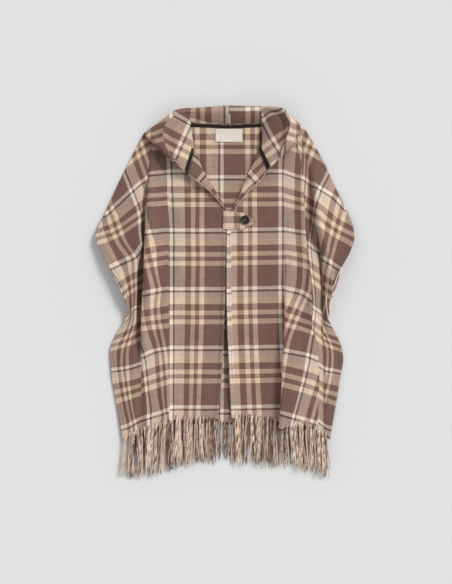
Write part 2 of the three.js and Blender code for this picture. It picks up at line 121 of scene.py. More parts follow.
# %% Shader maths
class Wire:
    """An output of a node, which adds and multiplies like a number."""

    def __init__(self, finish, socket):
        self.finish = finish
        self.socket = socket

    def math(self, operation, *values):
        return self.finish.node("ShaderNodeMath", {"operation": operation}, dict(enumerate(values)))

    def __add__(self, other):
        return self.math("ADD", self, other)

    def __radd__(self, other):
        return self.math("ADD", other, self)

    def __sub__(self, other):
        return self.math("SUBTRACT", self, other)

    def __rsub__(self, other):
        return self.math("SUBTRACT", other, self)

    def __mul__(self, other):
        return self.math("MULTIPLY", self, other)

    def __rmul__(self, other):
        return self.math("MULTIPLY", other, self)

    def __truediv__(self, other):
        return self.math("DIVIDE", self, other)

    def fract(self):
        return self.math("FRACT", self)

    def size(self):
        return self.math("ABSOLUTE", self)

    def ridges(self, step):
        """Even ridges along this number, between 0 and 1, one for each step."""
        return ((self / step).fract() - 0.5).size() * 2.0


class Finish:
    """A material on its way to being wired."""

    def __init__(self, name, **fixed):
        self.material = bpy.data.materials.new(name)
        self.material.use_nodes = True
        self.tree = self.material.node_tree
        self.shader = self.tree.nodes["Principled BSDF"]
        for key, value in fixed.items():
            self.feed(self.shader.inputs[key.replace("_", " ")], value)

    def feed(self, socket, value):
        if isinstance(value, Wire):
            self.tree.links.new(value.socket, socket)
        else:
            socket.default_value = value

    def node(self, kind, settings=None, inputs=None, output=0):
        made = self.tree.nodes.new(kind)
        settings = dict(settings or {})
        stops = settings.pop("stops", None)
        for key, value in settings.items():
            setattr(made, key, value)
        if stops:
            ramp = made.color_ramp
            ramp.interpolation = "CONSTANT"
            while len(ramp.elements) < len(stops):
                ramp.elements.new(1)
            for element, (place, colour) in zip(ramp.elements, stops):
                element.position = place
                element.color = colour
        for key, value in (inputs or {}).items():
            self.feed(made.inputs[key], value)
        return Wire(self, made.outputs[output])

    def object_place(self):
        return self.node("ShaderNodeTexCoord", {}, {}, output=3)

    def chart_place(self):
        return self.node("ShaderNodeUVMap", {"uv_map": "check"})

    def across_and_down(self, place):
        """The first two numbers of a place."""
        across = self.node("ShaderNodeSeparateXYZ", {}, {0: place})
        return across, Wire(self, across.socket.node.outputs[1])

    def mix(self, share, first, second):
        settings = {"data_type": "RGBA", "blend_type": "MIX"}
        return self.node("ShaderNodeMix", settings, {0: share, 6: first, 7: second}, output=2)

    def scaled(self, colour, share):
        inputs = {"Vector": colour, "Scale": share}
        return self.node("ShaderNodeVectorMath", {"operation": "SCALE"}, inputs)

    def noise(self, place, scale, detail=2.0):
        return self.node("ShaderNodeTexNoise", {}, {"Vector": place, "Scale": scale, "Detail": detail})

    def stretched(self, place, across, down):
        inputs = {"Vector": place, "Scale": (across, down, 1)}
        return self.node("ShaderNodeMapping", {}, inputs)

    def colour(self, value):
        self.feed(self.shader.inputs["Base Color"], value)

    def bump(self, height, distance, strength=1.0):
        inputs = {"Height": height, "Distance": distance, "Strength": strength}
        self.feed(self.shader.inputs["Normal"], self.node("ShaderNodeBump", {}, inputs))


def linear(*rgb):
    """A colour as a painter reads it on a screen, 0 to 255, as light."""
    share = [value / 255 for value in rgb]
    return tuple(v / 12.92 if v <= 0.04045 else ((v + 0.055) / 1.055) ** 2.4 for v in share)


def opaque(*rgb):
    """The same colour as a node's socket takes it."""
    return (*linear(*rgb), 1)


print("a painter's grey of 128 is", round(linear(128)[0], 3), "as light")


# %% [markdown]
# ## The check
# Warp and weft carry the same order of stripes, and where they cross the eye sees half of each. The
# table follows the centre front: name of the yarn and the stripe's width in millimetres.

# %% The check
YARN = {
    "white": linear(240, 227, 214),
    "dark": linear(86, 67, 58),
    "grey": linear(208, 190, 175),
    "tan": linear(225, 199, 170),
    "brown": linear(118, 88, 79),
}
STRIPES = [
    ("white", 7.8),
    ("dark", 4.6),
    ("grey", 13.8),
    ("tan", 13.8),
    ("brown", 14.7),
    ("tan", 10.6),
    ("brown", 10.6),
    ("tan", 11.0),
    ("brown", 50.1),
]
TONE = 2.2  # crossed yarns are mixed in screen tones, since the darker yarn's nap covers the lighter
REPEAT = sum(width for _, width in STRIPES)
STRIPE_ENDS = np.cumsum([width for _, width in STRIPES])
STRIPE_COLOURS = np.array([YARN[name] for name, _ in STRIPES])


def stripe_colour(place):
    """The yarn's colour at a place across the stripes, in millimetres."""
    return STRIPE_COLOURS[np.searchsorted(STRIPE_ENDS, np.mod(place, REPEAT), side="right") % len(STRIPES)]


print("repeat", round(float(REPEAT), 1), "mm")

# %% [markdown]
# ## Cloth finish
# Brushed wool twill is dull and a little fuzzy. Fine diagonal ribs let warp and weft take turns on
# top, and a soft mottle stands for the nap. The pattern reads a chart that follows the cloth.


# %% Cloth finish
FUZZ = 0.02  # how far the nap blurs a stripe's edge, as a share of the repeat
RIB_STEP = 0.0019


def check_finish():
    made = Finish("check_cloth", Roughness=0.92, Specular_IOR_Level=0.2)
    made.feed(made.shader.inputs["Sheen Weight"], 0.1)
    made.feed(made.shader.inputs["Sheen Roughness"], 0.6)
    chart = made.chart_place()
    across, down = made.across_and_down(chart)
    place = made.object_place()
    fuzz = made.noise(place, 620, 2.0) - 0.5
    toned = STRIPE_COLOURS ** (1 / TONE)
    stops = [(0.0, (*toned[0], 1))]
    stops += [(float(e / REPEAT), (*c, 1)) for e, c in zip(STRIPE_ENDS[:-1], toned[1:])]

    def yarns(way):
        turn = (way / (REPEAT / 1000) + fuzz * FUZZ).fract()
        return made.node("ShaderNodeValToRGB", {"stops": stops}, {0: turn})

    twill = (across - down).ridges(RIB_STEP)
    grain = made.noise(made.stretched(chart, 420, 420), 1, 0.0)
    crossed = made.mix(0.02 + twill * 0.48 + grain * 0.48, yarns(across), yarns(down))
    mottle = made.noise(place, 45, 3.0)
    nap = made.noise(place, 420, 3.0)
    ends = made.noise(made.stretched(chart, 480, 20), 1, 1.0)
    picks = made.noise(made.stretched(chart, 20, 480), 1, 1.0)
    slub = ends * 0.14 + picks * 0.14
    toned_nap = made.scaled(crossed, 0.7 + mottle * 0.14 + nap * 0.18 + slub)
    made.colour(made.node("ShaderNodeGamma", {}, {0: toned_nap, 1: TONE}))
    made.bump(twill * 0.35 + nap * 0.9, 0.0007, 0.5)
    return made.material


CHECK = check_finish()
print("finish:", CHECK.name)

# %% [markdown]
# ## Curves
# Every panel is a grid of points. Smooth curves run down it through short tables of places, and
# sections run across them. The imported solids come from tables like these, with fewer folds.


# %% Curves
def through(rows):
    """A smooth curve through rows of numbers, read by their first column."""
    rows = np.array(rows, float)
    if rows[0, 0] > rows[-1, 0]:
        rows = rows[::-1]
    knots, values = rows[:, 0], rows[:, 1:]
    span = np.diff(knots)[:, None]
    chord = np.diff(values, axis=0) / span
    before, after = chord[:-1], chord[1:]
    total = np.where(before * after > 0, before + after, 1)
    inner = np.where(before * after > 0, 2 * before * after / total, 0)
    slope = np.vstack([chord[:1], inner, chord[-1:]])

    def read(at):
        at = np.clip(np.asarray(at, float), knots[0], knots[-1])
        i = np.clip(np.searchsorted(knots, at, side="right") - 1, 0, len(span) - 1)
        t = ((at - knots[i]) / span[i, 0])[..., None]
        start = (2 * t**3 - 3 * t**2 + 1) * values[i] + (t**3 - 2 * t**2 + t) * slope[i] * span[i]
        end = (3 * t**2 - 2 * t**3) * values[i + 1] + (t**3 - t**2) * slope[i + 1] * span[i]
        return start + end

    return read


def spline(knots, steps):
    """Points of a smooth line through knots, with a number of steps between each two."""
    knots = np.array(knots, float)
    ends = np.concatenate([[2 * knots[0] - knots[1]], knots, [2 * knots[-1] - knots[-2]]])
    line = []
    for k, count in enumerate(steps):
        p0, p1, p2, p3 = ends[k : k + 4]
        pairs = ((p0, p1), (p1, p2), (p2, p3))
        gaps = [np.linalg.norm(b - a, axis=-1, keepdims=True) ** 0.5 for a, b in pairs]
        d1 = np.where(gaps[1] < 1e-4, 1, gaps[1])
        d0 = np.where(gaps[0] < 1e-4, d1, gaps[0])
        d2 = np.where(gaps[2] < 1e-4, d1, gaps[2])
        t1 = ((p1 - p0) / d0 - (p2 - p0) / (d0 + d1) + (p2 - p1) / d1) * d1
        t2 = ((p2 - p1) / d1 - (p3 - p1) / (d1 + d2) + (p3 - p2) / d2) * d1
        for j in range(count):
            t = j / count
            start = (2 * t**3 - 3 * t**2 + 1) * p1 + (t**3 - 2 * t**2 + t) * t1
            line.append(start + (3 * t**2 - 2 * t**3) * p2 + (t**3 - t**2) * t2)
    line.append(knots[-1])
    return np.array(line)


# %% [markdown]
# ## Grids
# A grid knows which way its cloth faces, and how far a place is from its first column. Stitches and
# tapes are laid by that distance.


# %% Grids
def facing(grid):
    """Unit normals of a grid whose rows run down and whose columns run to +X."""
    along = np.gradient(grid, axis=1)
    down = np.gradient(grid, axis=0)
    normal = np.cross(down, along)
    return normal / np.maximum(np.linalg.norm(normal, axis=2, keepdims=True), 1e-9)


def run_across(grid):
    """Distances along each row of a grid, from its first column."""
    steps = np.linalg.norm(np.diff(grid, axis=1), axis=2).cumsum(axis=1)
    return np.concatenate([np.zeros((len(grid), 1)), steps], axis=1)


def at_distance(run, values, places):
    """The values of each row at a distance along it, one for all rows or one for each."""
    rows = zip(np.broadcast_to(places, len(run)), run, values)
    return np.array([[np.interp(place, row, value[:, c]) for c in range(3)] for place, row, value in rows])


# %% [markdown]
# ## Charts
# A chart says which place of the check lies at a place of the cape. A few landmarks fix it, and a thin
# bent plate through them gives the rest, so that the check curves with the cloth.


# %% Charts
def chart(landmarks):
    """A smooth map from a place on the cape (x, y) to a place in the check, through landmarks."""
    marks = np.array(landmarks, float)
    places, checks = marks[:, :2], marks[:, 2:]
    count = len(marks)

    def pull(r2):
        return 0.5 * r2 * np.log(np.where(r2 > 1e-9, r2, 1))

    k = pull(((places[:, None] - places[None]) ** 2).sum(-1))
    flat = np.hstack([np.ones((count, 1)), places])
    system = np.block([[k, flat], [flat.T, np.zeros((3, 3))]])
    weights = np.linalg.solve(system, np.vstack([checks, np.zeros((3, 2))]))

    def read(points):
        plan = points[..., :2]
        far = np.stack([((plan - place) ** 2).sum(-1) for place in places], axis=-1)
        return pull(far) @ weights[:count] + weights[count] + plan @ weights[count + 1 :]

    return read


def corners(grid, charts, choice):
    """The check's place at the four corners of each face; choice numbers the chart of each face."""
    read = np.array([one(grid) for one in charts])
    i, j = np.indices(choice.shape)
    around = [(i, j), (i + 1, j), (i + 1, j + 1), (i, j + 1)]
    return np.stack([read[choice, a, b] for a, b in around], axis=2)


def one_chart(grid, landmarks):
    """The same for a grid that has one chart all over."""
    rows, columns = grid.shape[:2]
    return corners(grid, [chart(landmarks)], np.zeros((rows - 1, columns - 1), int))


# %% [markdown]
# ## A panel of cloth
# A panel has an upper and a lower face two millimetres apart and a rounded edge all round, so that
# its cut edge catches the light as folded cloth does. It is built as one closed mesh with its chart.

# %% A panel of cloth
CLOTH = 2.0
MM = 0.001


def add_mesh(name, points, faces, uv=None, finish=None):
    """A smooth mesh from points in millimetres, with its chart and finish."""
    mesh = bpy.data.meshes.new(name)
    mesh.from_pydata((np.asarray(points) * MM).tolist(), [], [list(f) for f in faces])
    if uv is not None:
        layer = mesh.uv_layers.new(name="check")
        layer.data.foreach_set("uv", (np.asarray(uv).reshape(-1) * MM).astype(np.float32))
    mesh.shade_smooth()
    thing = bpy.data.objects.new(name, mesh)
    bpy.context.scene.collection.objects.link(thing)
    if finish:
        mesh.materials.append(finish)
    return thing


def panel(name, grid, uv, upper=None, lower=None, rim=0.7, finish=None):
    """A closed cloth round a grid of its middle points."""
    rows, columns = grid.shape[:2]
    up = facing(grid)
    upper = grid + up * CLOTH / 2 if upper is None else upper
    lower = grid - up * CLOTH / 2 if lower is None else lower
    number = np.arange(rows * columns).reshape(rows, columns)
    top = np.stack([number[:-1, :-1], number[1:, :-1], number[1:, 1:], number[:-1, 1:]], axis=2)
    top = top.reshape(-1, 4)
    top_uv = uv.reshape(-1, 4, 2)
    under = top[:, ::-1] + rows * columns
    ring = [(0, j) for j in range(columns)] + [(i, columns - 1) for i in range(1, rows)]
    ring += [(rows - 1, j) for j in range(columns - 2, -1, -1)] + [(i, 0) for i in range(rows - 2, 0, -1)]
    ring = np.array(ring)
    i, j = ring[:, 0], ring[:, 1]
    inside = grid[np.clip(i, 1, rows - 2), np.clip(j, 1, columns - 2)]
    out = grid[i, j] - inside
    out /= np.linalg.norm(out, axis=1, keepdims=True)
    middle = (upper[i, j] + lower[i, j]) / 2 + out * rim
    at_vertex = np.zeros((rows, columns, 2))
    for (a, b), k in zip(((0, 0), (1, 0), (1, 1), (0, 1)), range(4)):
        at_vertex[a : rows - 1 + a, b : columns - 1 + b] = uv[:, :, k]
    ring_uv = at_vertex[i, j]
    here, after = np.arange(len(ring)), np.roll(np.arange(len(ring)), -1)
    high, low, mid = number[i, j], number[i, j] + rows * columns, here + 2 * rows * columns
    side = np.stack([high, high[after], mid[after], mid], axis=1)
    base = np.stack([mid, mid[after], low[after], low], axis=1)
    side_uv = np.stack([ring_uv, ring_uv[after], ring_uv[after], ring_uv], axis=1)
    faces = np.concatenate([top, under, side, base])
    places = np.concatenate([top_uv, top_uv[:, ::-1], side_uv, side_uv])
    points = np.concatenate([upper.reshape(-1, 3), lower.reshape(-1, 3), middle])
    made = add_mesh(name, points, faces, places, finish or CHECK)
    area = np.linalg.norm(np.cross(np.gradient(grid, axis=0), np.gradient(grid, axis=1)), axis=2).sum()
    print(name, len(faces) * 2, "triangles,", round(area * 1e-6, 4), "square metres")
    return made


def finish_piece(made, node):
    """Hangs a piece under the root and hides the solid that it stands for."""
    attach(made, "root")
    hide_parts(node)
    return made


# %% [markdown]
# ## Creases
# Pressed wool keeps a few soft creases. Each is a row: its height, its width to one side and its
# line, as x and y pairs. They are placed one by one, uneven as in the photograph.


# %% Creases
def raise_creases(grid, rows):
    """Lifts a grid along its normals, most on each crease's line and less towards the line's ends."""
    plan = grid[..., :2]
    up = facing(grid)
    lift = np.zeros(grid.shape[:2])
    for height, width, *line in rows:
        line = np.array(line, float).reshape(-1, 2)
        near = np.full(grid.shape[:2], 1e9)
        where = np.zeros(grid.shape[:2])
        for k in range(len(line) - 1):
            a, b = line[k], line[k + 1]
            t = np.clip(((plan - a) @ (b - a)) / ((b - a) @ (b - a)), 0, 1)
            far = np.linalg.norm(plan - (a + t[..., None] * (b - a)), axis=-1)
            closer = far < near
            near = np.where(closer, far, near)
            where = np.where(closer, (k + t) / (len(line) - 1), where)
        ease = np.sin(np.pi * np.clip(where, 0.04, 0.96)) ** 0.6
        lift += height * ease * np.exp(-((near / width) ** 2))
    return grid + up * lift[..., None]


# %% [markdown]
# ## The right front
# One cloth from the centre edge to the arm's edge. It rises to a ridge, dips into the valley between
# front and sleeve, and rises again. Rails run from shoulder to hem: y, x and height of its middle.

# %% Right front rails
RIGHT_FRONT = {
    "side": [
        (365, -185, 3.5), (263, -237, 3.5), (178, -276, 5), (151, -289, 8), (125, -296.6, 14),
        (93, -283, 20), (56, -264, 24), (-3, -236, 24), (-43, -223, 17), (-68, -230, 9),
        (-102, -251, 3.6), (-139, -264, 3.6), (-178, -262, 3.6), (-261, -248, 4), (-339, -235, 6.6),
    ],
    "sleeveMiddle": [
        (365, -177, 4), (279, -205, 6), (210, -228, 9), (137, -246, 14), (56, -237, 20),
        (-3, -221, 21), (-43, -215, 17), (-77, -221, 11), (-135, -239, 8), (-331, -220, 8),
    ],
    "sleeveRidge": [
        (365, -170, 4), (261, -186, 9), (210, -193, 17), (107, -192, 24), (33, -206, 26),
        (-10, -205, 24), (-66, -205, 18), (-112, -209, 13), (-325, -204, 12),
    ],
    "valleyFar": [
        (365, -166, 4), (261, -181, 7.5), (210, -187, 6), (107, -191, 4.2), (33, -199, 4.2),
        (-66, -201, 4.6), (-123, -202, 7), (-181, -201, 9), (-319, -197, 9),
    ],
    "valley": [
        (365, -162, 4), (261, -177, 6), (210, -178.5, 4.6), (107, -178.5, 4), (33, -183, 4),
        (-66, -188, 4.5), (-123, -192, 7), (-181, -192, 9), (-319, -188, 9),
    ],
    "frontRidge": [
        (365, -156, 4), (261, -171, 14), (210, -173.5, 22), (112, -174, 27), (33, -178, 27),
        (-10, -180, 26), (-66, -183.5, 24), (-130, -187, 18), (-169, -186, 13), (-315, -178, 13),
    ],
    "slope": [(365, -143, 4), (261, -150, 8), (112, -150, 14), (-130, -161, 13), (-307, -156, 12)],
    "foldCrest": [
        (365, -124, 4), (210, -129, 6), (72, -130, 7), (-20, -129, 11), (-130, -127, 17),
        (-298, -128, 21),
    ],
    "foldFoot": [(365, -115, 4), (210, -117, 6), (-20, -118, 5), (-130, -118, 4.2), (-291, -118, 6.6)],
    "middle": [
        (365, -94, 3.6), (279, -80, 4.4), (183, -46, 5), (137, -46, 5), (-130, -64, 5.5), (-291, -69, 7),
    ],
    "neckAndCentre": [
        (365, -79, 3.4), (325, -71, 4.4), (284, -55, 4.6), (224, -20, 4.6), (183, 1.4, 5),
        (137, 1, 5), (1, 0, 3.6), (-89, -3.2, 3.6), (-185, -8, 3.8), (-293, -16, 6.6),
    ],
}
ROWS_DOWN = 170


def front_grid(rails, steps):
    """Rows from shoulder to hem, each a smooth section through all the rails."""
    anchors = []
    for rows in rails:
        y = np.linspace(rows[0][0], rows[-1][0], ROWS_DOWN + 1)
        read = through(rows)(y)
        anchors.append(np.stack([read[:, 0], y, read[:, 1]], axis=1))
    return spline(anchors, steps).transpose(1, 0, 2)


RIGHT_STEPS = [12, 14, 8, 6, 12, 12, 12, 10, 12, 14]
right_grid = front_grid(list(RIGHT_FRONT.values()), RIGHT_STEPS)
print("right front:", right_grid.shape)

# %% [markdown]
# The check runs down the centre panel, leans over the folds and jumps at the deepest lines, where
# cloth is hidden. So each stretch between two folds has a chart of its own: x, y, then the place in
# the check.

# %% Right front cloth
RIGHT_CHARTS = {
    "sleeve": [
        (-184, 257, -83, 5), (-216, 231, -133, 5), (-258, 192, -191, 5), (-271, 179, -214, 5),
        (-232, 270, -133, -41), (-197, 178, -133, 62), (-190, 107, -133, 142), (-206, 82, -191, 142),
        (-221, 75, -214, 142), (-248, 63, -239, 142), (-297, 125, -260, 64), (-264, 55, -260, 142),
        (-223, -43, -260, 253), (-212, -41, -214, 278), (-184, -34, -133, 278), (-230, -66, -260, 278),
        (-260, -121, -260, 340), (-261, -180, -260, 416), (-237, -177, -214, 416), (-214, -172, -177, 416),
        (-195, -166, -140, 416), (-238, -313, -260, 553), (-225, -309, -232, 553), (-212, -302, -207, 553),
        (-204, -297, -186, 553), (-191, -291, -154, 553),
    ],
    "slope": [
        (-133, 275, 0, 5), (-175, 270, -44, 5), (-130, 172, 0, 113), (-175, 167.5, -48, 113),
        (-128.5, 141, 0, 142), (-175, 135.5, -57, 142), (-156, 96, -48, 186), (-176, 91, -67, 186),
        (-128.5, 6.5, -2, 279), (-145, 5, -48, 279), (-182, -3.5, -92, 279), (-136, -89, -41, 366),
        (-188, -95, -110, 366), (-136, -131, -53, 416), (-164, -136, -97, 416), (-187, -146, -129, 416),
        (-138, -274, -76, 553), (-146, -277, -97, 553), (-168, -284, -124, 553), (-180, -288, -138, 553),
    ],
    "centre": [
        (2, 276, 136, 5), (-123, 276, 10, 5), (2, 140, 136, 142), (-118, 140, 10, 142),
        (-74, 140, 60, 142), (2, 5.4, 136, 279), (-118, 5.4, 10, 279), (-74, 5.4, 60, 279),
        (-4, -129.3, 136, 416), (-118.5, -129.3, 10, 416), (-76, -129.3, 60, 416), (-13, -266, 136, 553),
        (-119, -266, 10, 553), (-79, -266, 60, 553),
    ],
}
# Height, width, then the line as x and y pairs
RIGHT_CREASES = [
    (12, 6, -170, 240, -172, 180, -172, 110, -175, 30, -178, -20, -182, -70, -186, -120),
    (5, 6, 1, 120, 0, 20, -3, -89, -8, -200, -12, -240),
    (-2.5, 6, -150, 300, -140, 278, -120, 262),
    (2.4, 5, -204, 90, -212, 30, -212, -30, -209, -80),
    (-1.4, 6, -128, 60, -129, -40, -131, -140, -132, -260),
    (1.6, 9, -30, 60, -60, -40, -66, -150),
    (1.2, 7, -96, 30, -88, -90, -94, -190),
    (1.5, 8, -20, -120, -44, -210, -50, -290),
    (2.2, 8, -186, -203, -202, -243, -206, -312),
    (1.4, 6, -238, 40, -216, -20, -204, -60),
    (1.2, 6, -262, 120, -232, 96, -214, 40),
    (1.8, 9, -250, -110, -226, -170, -232, -260),
    (1.0, 8, -100, 240, -60, 150, -20, 110),
]


def column_charts(steps, last_intervals):
    """The number of the chart for each column of faces: a new one starts after each named interval."""
    ends = np.cumsum(steps)
    numbers = np.zeros(ends[-1], int)
    for interval in last_intervals:
        numbers[ends[interval] :] += 1
    return np.tile(numbers, (ROWS_DOWN, 1))


right_grid = raise_creases(right_grid, RIGHT_CREASES)
right_choice = column_charts(RIGHT_STEPS, (3, 6))
right_uv = corners(right_grid, [chart(c) for c in RIGHT_CHARTS.values()], right_choice)
front_right = panel("front_right_cloth", right_grid, right_uv)
finish_piece(front_right, "front_right")

# %% [markdown]
# ## The left front
# The same cloth mirrored, with a knife pleat pressed beside its centre panel. The pleat is given by
# its edge, the height below it, the rise of the cloth over it and how far the hidden layers reach.

# %% Left front rails
LEFT_FRONT = {
    "neckAndCentre": [
        (376, 86, 3.4), (316, 74, 4.4), (270, 53, 4.6), (208, 26, 4.6), (160, 5, 5),
        (137, 4, 5), (-20, 4, 5.5), (-89, 6, 6), (-201, 11, 8), (-286, 15, 9),
    ],
    "middle": [
        (376, 99, 3.6), (279, 85, 4.4), (183, 62, 5), (137, 62, 5), (-130, 71, 5.5), (-286, 71, 6.7),
    ],
    "pleat": [
        (376, 126, 4, 0, -10), (210, 136, 5, 0.5, -12), (118, 140, 5.5, 1.2, -14), (15, 139, 5, 4, -8),
        (-13, 138, 4.4, 12, 0), (-66, 136, 3.8, 17, 21), (-130, 134, 3.8, 20, 31),
        (-227, 129, 4.2, 21, 46), (-314, 124, 6.6, 17, 53),
    ],
    "slope": [
        (376, 145, 4), (279, 156, 7), (137, 166, 10), (-20, 170, 15), (-130, 172, 20), (-302, 180, 20),
    ],
    "frontRidge": [
        (376, 159, 4), (279, 176, 12), (210, 181, 17), (132, 184, 18), (49, 194, 20), (-10, 198, 22),
        (-72, 198, 20), (-114, 209, 14), (-194, 216, 12), (-316, 212, 12),
    ],
    "valleyNear": [
        (376, 165, 4), (279, 186, 9), (236, 195, 6), (176, 200, 4.4), (118, 205, 6), (77, 212, 12),
        (3, 216, 15), (-29, 215, 13), (-61, 218, 9), (-114, 219, 9), (-194, 225, 10), (-325, 219, 9),
    ],
    "valley": [
        (376, 169, 4), (279, 191, 9), (236, 202, 6), (210, 205.5, 4.6), (176, 207.5, 4.2), (150, 209.5, 4),
        (118, 216, 4), (100, 218, 4), (77, 220, 4), (40, 222, 4), (3, 223, 4), (-29, 221, 4.5),
        (-61, 224, 6), (-114, 226, 9), (-194, 232, 10), (-325, 225, 9),
    ],
    "sleeveRidge": [
        (376, 174, 4), (279, 199, 13), (236, 207, 20), (210, 210, 24), (176, 212, 26), (150, 214, 27),
        (118, 222.5, 26), (100, 227.5, 25), (77, 233, 24), (40, 237.5, 22), (3, 238.5, 19),
        (-29, 232, 14), (-61, 231.5, 10), (-114, 241, 11), (-194, 244, 12), (-330, 232, 9),
    ],
    "sleeveMiddle": [
        (376, 178, 3.6), (279, 216, 11), (210, 238, 16), (118, 256, 19), (77, 254, 21), (40, 250, 21),
        (3, 244, 18), (-29, 236, 13), (-61, 235, 8), (-114, 252, 8), (-194, 255, 9), (-332, 237, 8),
    ],
    "side": [
        (376, 182, 3.4), (300, 225, 3.5), (250, 248, 4), (199, 273, 5), (155, 292, 8), (125, 296.4, 13),
        (93, 287, 19), (56, 267, 23), (10, 249, 23), (-13, 241, 19), (-38, 238, 13), (-63, 238, 8),
        (-93, 252, 3.6), (-128, 267, 3.6), (-155, 271, 3.6), (-194, 265, 3.6), (-261, 254, 4),
        (-335, 241, 6.6),
    ],
}
PLEAT_TURN = 1.35  # half the step between two layers pressed into the pleat
PLEAT_ROWS = 27
PLEAT_CLOSES = 8  # reach at which the pleat's layers lie flat on each other


def pleat_rails(rows):
    """The knife pleat as seven rails: two rounded turns, one under the other's edge."""
    y = np.linspace(rows[0][0], rows[-1][0], PLEAT_ROWS)
    edge, low, rise, reach = through(rows)(y).T
    closed = np.clip(reach / PLEAT_CLOSES, -1, 1)
    step = rise / 4
    inner = edge + reach
    places = [
        (inner - 8, low),
        (inner - PLEAT_TURN, low),
        (inner, low + step),
        (inner - PLEAT_TURN * closed, low + 2 * step),
        (edge + PLEAT_TURN * closed, low + 2 * step),
        (edge, low + 3 * step),
        (edge + PLEAT_TURN, low + 4 * step),
    ]
    return [np.stack([y, x, z], axis=1) for x, z in places]


LEFT_OUTER = ("slope", "frontRidge", "valleyNear", "valley", "sleeveRidge", "sleeveMiddle", "side")
left_rails = [LEFT_FRONT["neckAndCentre"], LEFT_FRONT["middle"], *pleat_rails(LEFT_FRONT["pleat"])]
left_rails += [LEFT_FRONT[key] for key in LEFT_OUTER]
LEFT_STEPS = [12, 12, 3, 3, 3, 5, 3, 3, 8, 10, 8, 5, 10, 12, 12]
left_grid = front_grid(left_rails, LEFT_STEPS)
print("left front:", left_grid.shape)

# %% [markdown]
# The left front's check also jumps at the pleat and in the valley. Beside the centre edge, a narrow
# white stripe starts below the tab, so the first columns of faces have a chart of their own there.

# %% Left front cloth
LEFT_CHARTS = {
    "centre": [
        (4, 276, -118, 5), (138, 276, 15.3, 5), (4, 140.6, -121, 142), (138, 142.8, 15.3, 142),
        (4, 5.6, -121, 279), (138, 8.8, 15.3, 279), (8, -129, -120, 416), (133, -127, 7.3, 416),
        (14, -266, -119, 553), (124, -264, -9.7, 553),
    ],
    "skirt": [
        (136, 275, 14, 5), (181, 259, 62, 5), (138, 142.5, 16, 142), (186, 134.5, 67, 142),
        (138, 7, 16, 279), (184, -5, 72, 279), (199, -17, 101, 279), (136, -66, 46, 347),
        (200, -98, 143, 361), (137, -135, 76, 416), (191, -146, 143, 416), (216, -156, 170, 416),
        (128, -277, 95, 553),
        (158, -286, 143, 553), (200, -298, 200, 553), (226, -307, 239, 553),
    ],
    "facet": [
        (181, 259, 62, 5), (202, 245, 122, 5), (206, 197, 143, 51), (183, 199, 78, 60),
        (193, 107, 141, 142), (220, 89, 193, 142), (204, -38, 141, 279), (229, -55, 193, 279),
        (200, -98, 143, 354), (223, -116, 177, 354),
    ],
    "sleeve": [
        (218, 236, 143, 5), (255, 213, 189, 5), (271, 195, 210, 5), (236, 270, 143, -34),
        (206, 197, 143, 51), (234, 71, 205, 142), (264, 52, 262, 142), (296, 130, 262, 60),
        (239, -64, 262, 262), (232, -43, 228, 253), (244, -79, 262, 278), (223, -114, 182, 350),
        (264, -123, 262, 340), (229, -177, 189, 416), (267, -185, 262, 416), (226, -307, 239, 553),
        (244, -314, 262, 553),
    ],
    "edge": [
        (4, 137, 0.5, 142), (15, 137, 8.7, 142), (4, 1, 0.5, 279), (15, 1, 8.7, 279), (8, -130, 0.5, 416),
        (19, -130, 8.7, 416), (14, -266, 0.5, 553), (25, -266, 8.7, 553),
    ],
}
EDGE_COLUMNS = 2
EDGE_ROW = int(ROWS_DOWN * 0.36)
# Height, width, then the line as x and y pairs
LEFT_CREASES = [
    (7, 4.5, 206, 250, 212, 210, 214, 176, 217, 150, 226, 118, 236, 77, 241, 40, 241, 10),
    (9, 5, 240, 70, 242, 20, 240, -10, 236, -40, 236, -66),
    (6, 7, 4, 120, 4, 20, 6, -89, 11, -200, 14, -240),
    (3, 8, 190, 60, 197, 0, 200, -60, 212, -130),
    (1.8, 6, 179, 250, 181, 190, 184, 120, 192, 50, 198, -10, 198, -70),
    (-1.6, 9, 122, 40, 126, -60, 122, -160, 116, -290),
    (1.4, 8, 36, 20, 52, -70, 40, -180),
    (1.2, 7, 92, -20, 84, -110, 98, -230),
    (2.2, 8, 216, -114, 229, -194, 234, -258, 229, -300),
    (1.4, 7, 160, -60, 164, -150, 152, -260),
    (1.4, 6, 240, 130, 252, 60, 240, 10),
    (1.2, 6, 270, 150, 262, 110, 244, 70),
    (1.0, 8, 110, 250, 80, 160, 40, 110),
]
left_grid = raise_creases(left_grid, LEFT_CREASES)
left_choice = column_charts(LEFT_STEPS, (5, 9, 11))
left_choice[EDGE_ROW:, :EDGE_COLUMNS] = len(LEFT_CHARTS) - 1
left_uv = corners(left_grid, [chart(c) for c in LEFT_CHARTS.values()], left_choice)
front_left = panel("front_left_cloth", left_grid, left_uv)
finish_piece(front_left, "front_left")

# %% [markdown]
# ## The back
# A flat panel under everything. It shows in the neck and in the gap between the fronts. Four edge
# curves span its grid, so that the cut follows the arms and the hem.

# %% The back
BACK_TOP = [
    (-183, 361), (-131, 379), (-79, 387), (-46, 385), (9, 383), (48, 384), (85, 387), (133, 384),
    (178, 375),
]
BACK_LEFT = [
    (178, 375), (223, 300), (246, 250), (270, 199), (290, 155), (294, 125), (285, 93), (267, 55), (256, 11),
    (246, -13), (241, -38), (239, -64), (250, -93), (264, -128), (268, -155), (262, -194), (251, -261),
    (239, -330),
]
BACK_HEM = [
    (-233, -332), (-172, -312), (-126, -300), (-57, -299), (2, -300), (62, -299), (126, -302), (186, -314),
    (239, -330),
]
BACK_RIGHT = [
    (-183, 361), (-236, 263), (-274, 178), (-286, 151), (-292, 125), (-279, 93), (-261, 56), (-234, -3),
    (-221, -43), (-228, -68), (-248, -102), (-261, -139), (-260, -178), (-246, -261), (-233, -332),
]


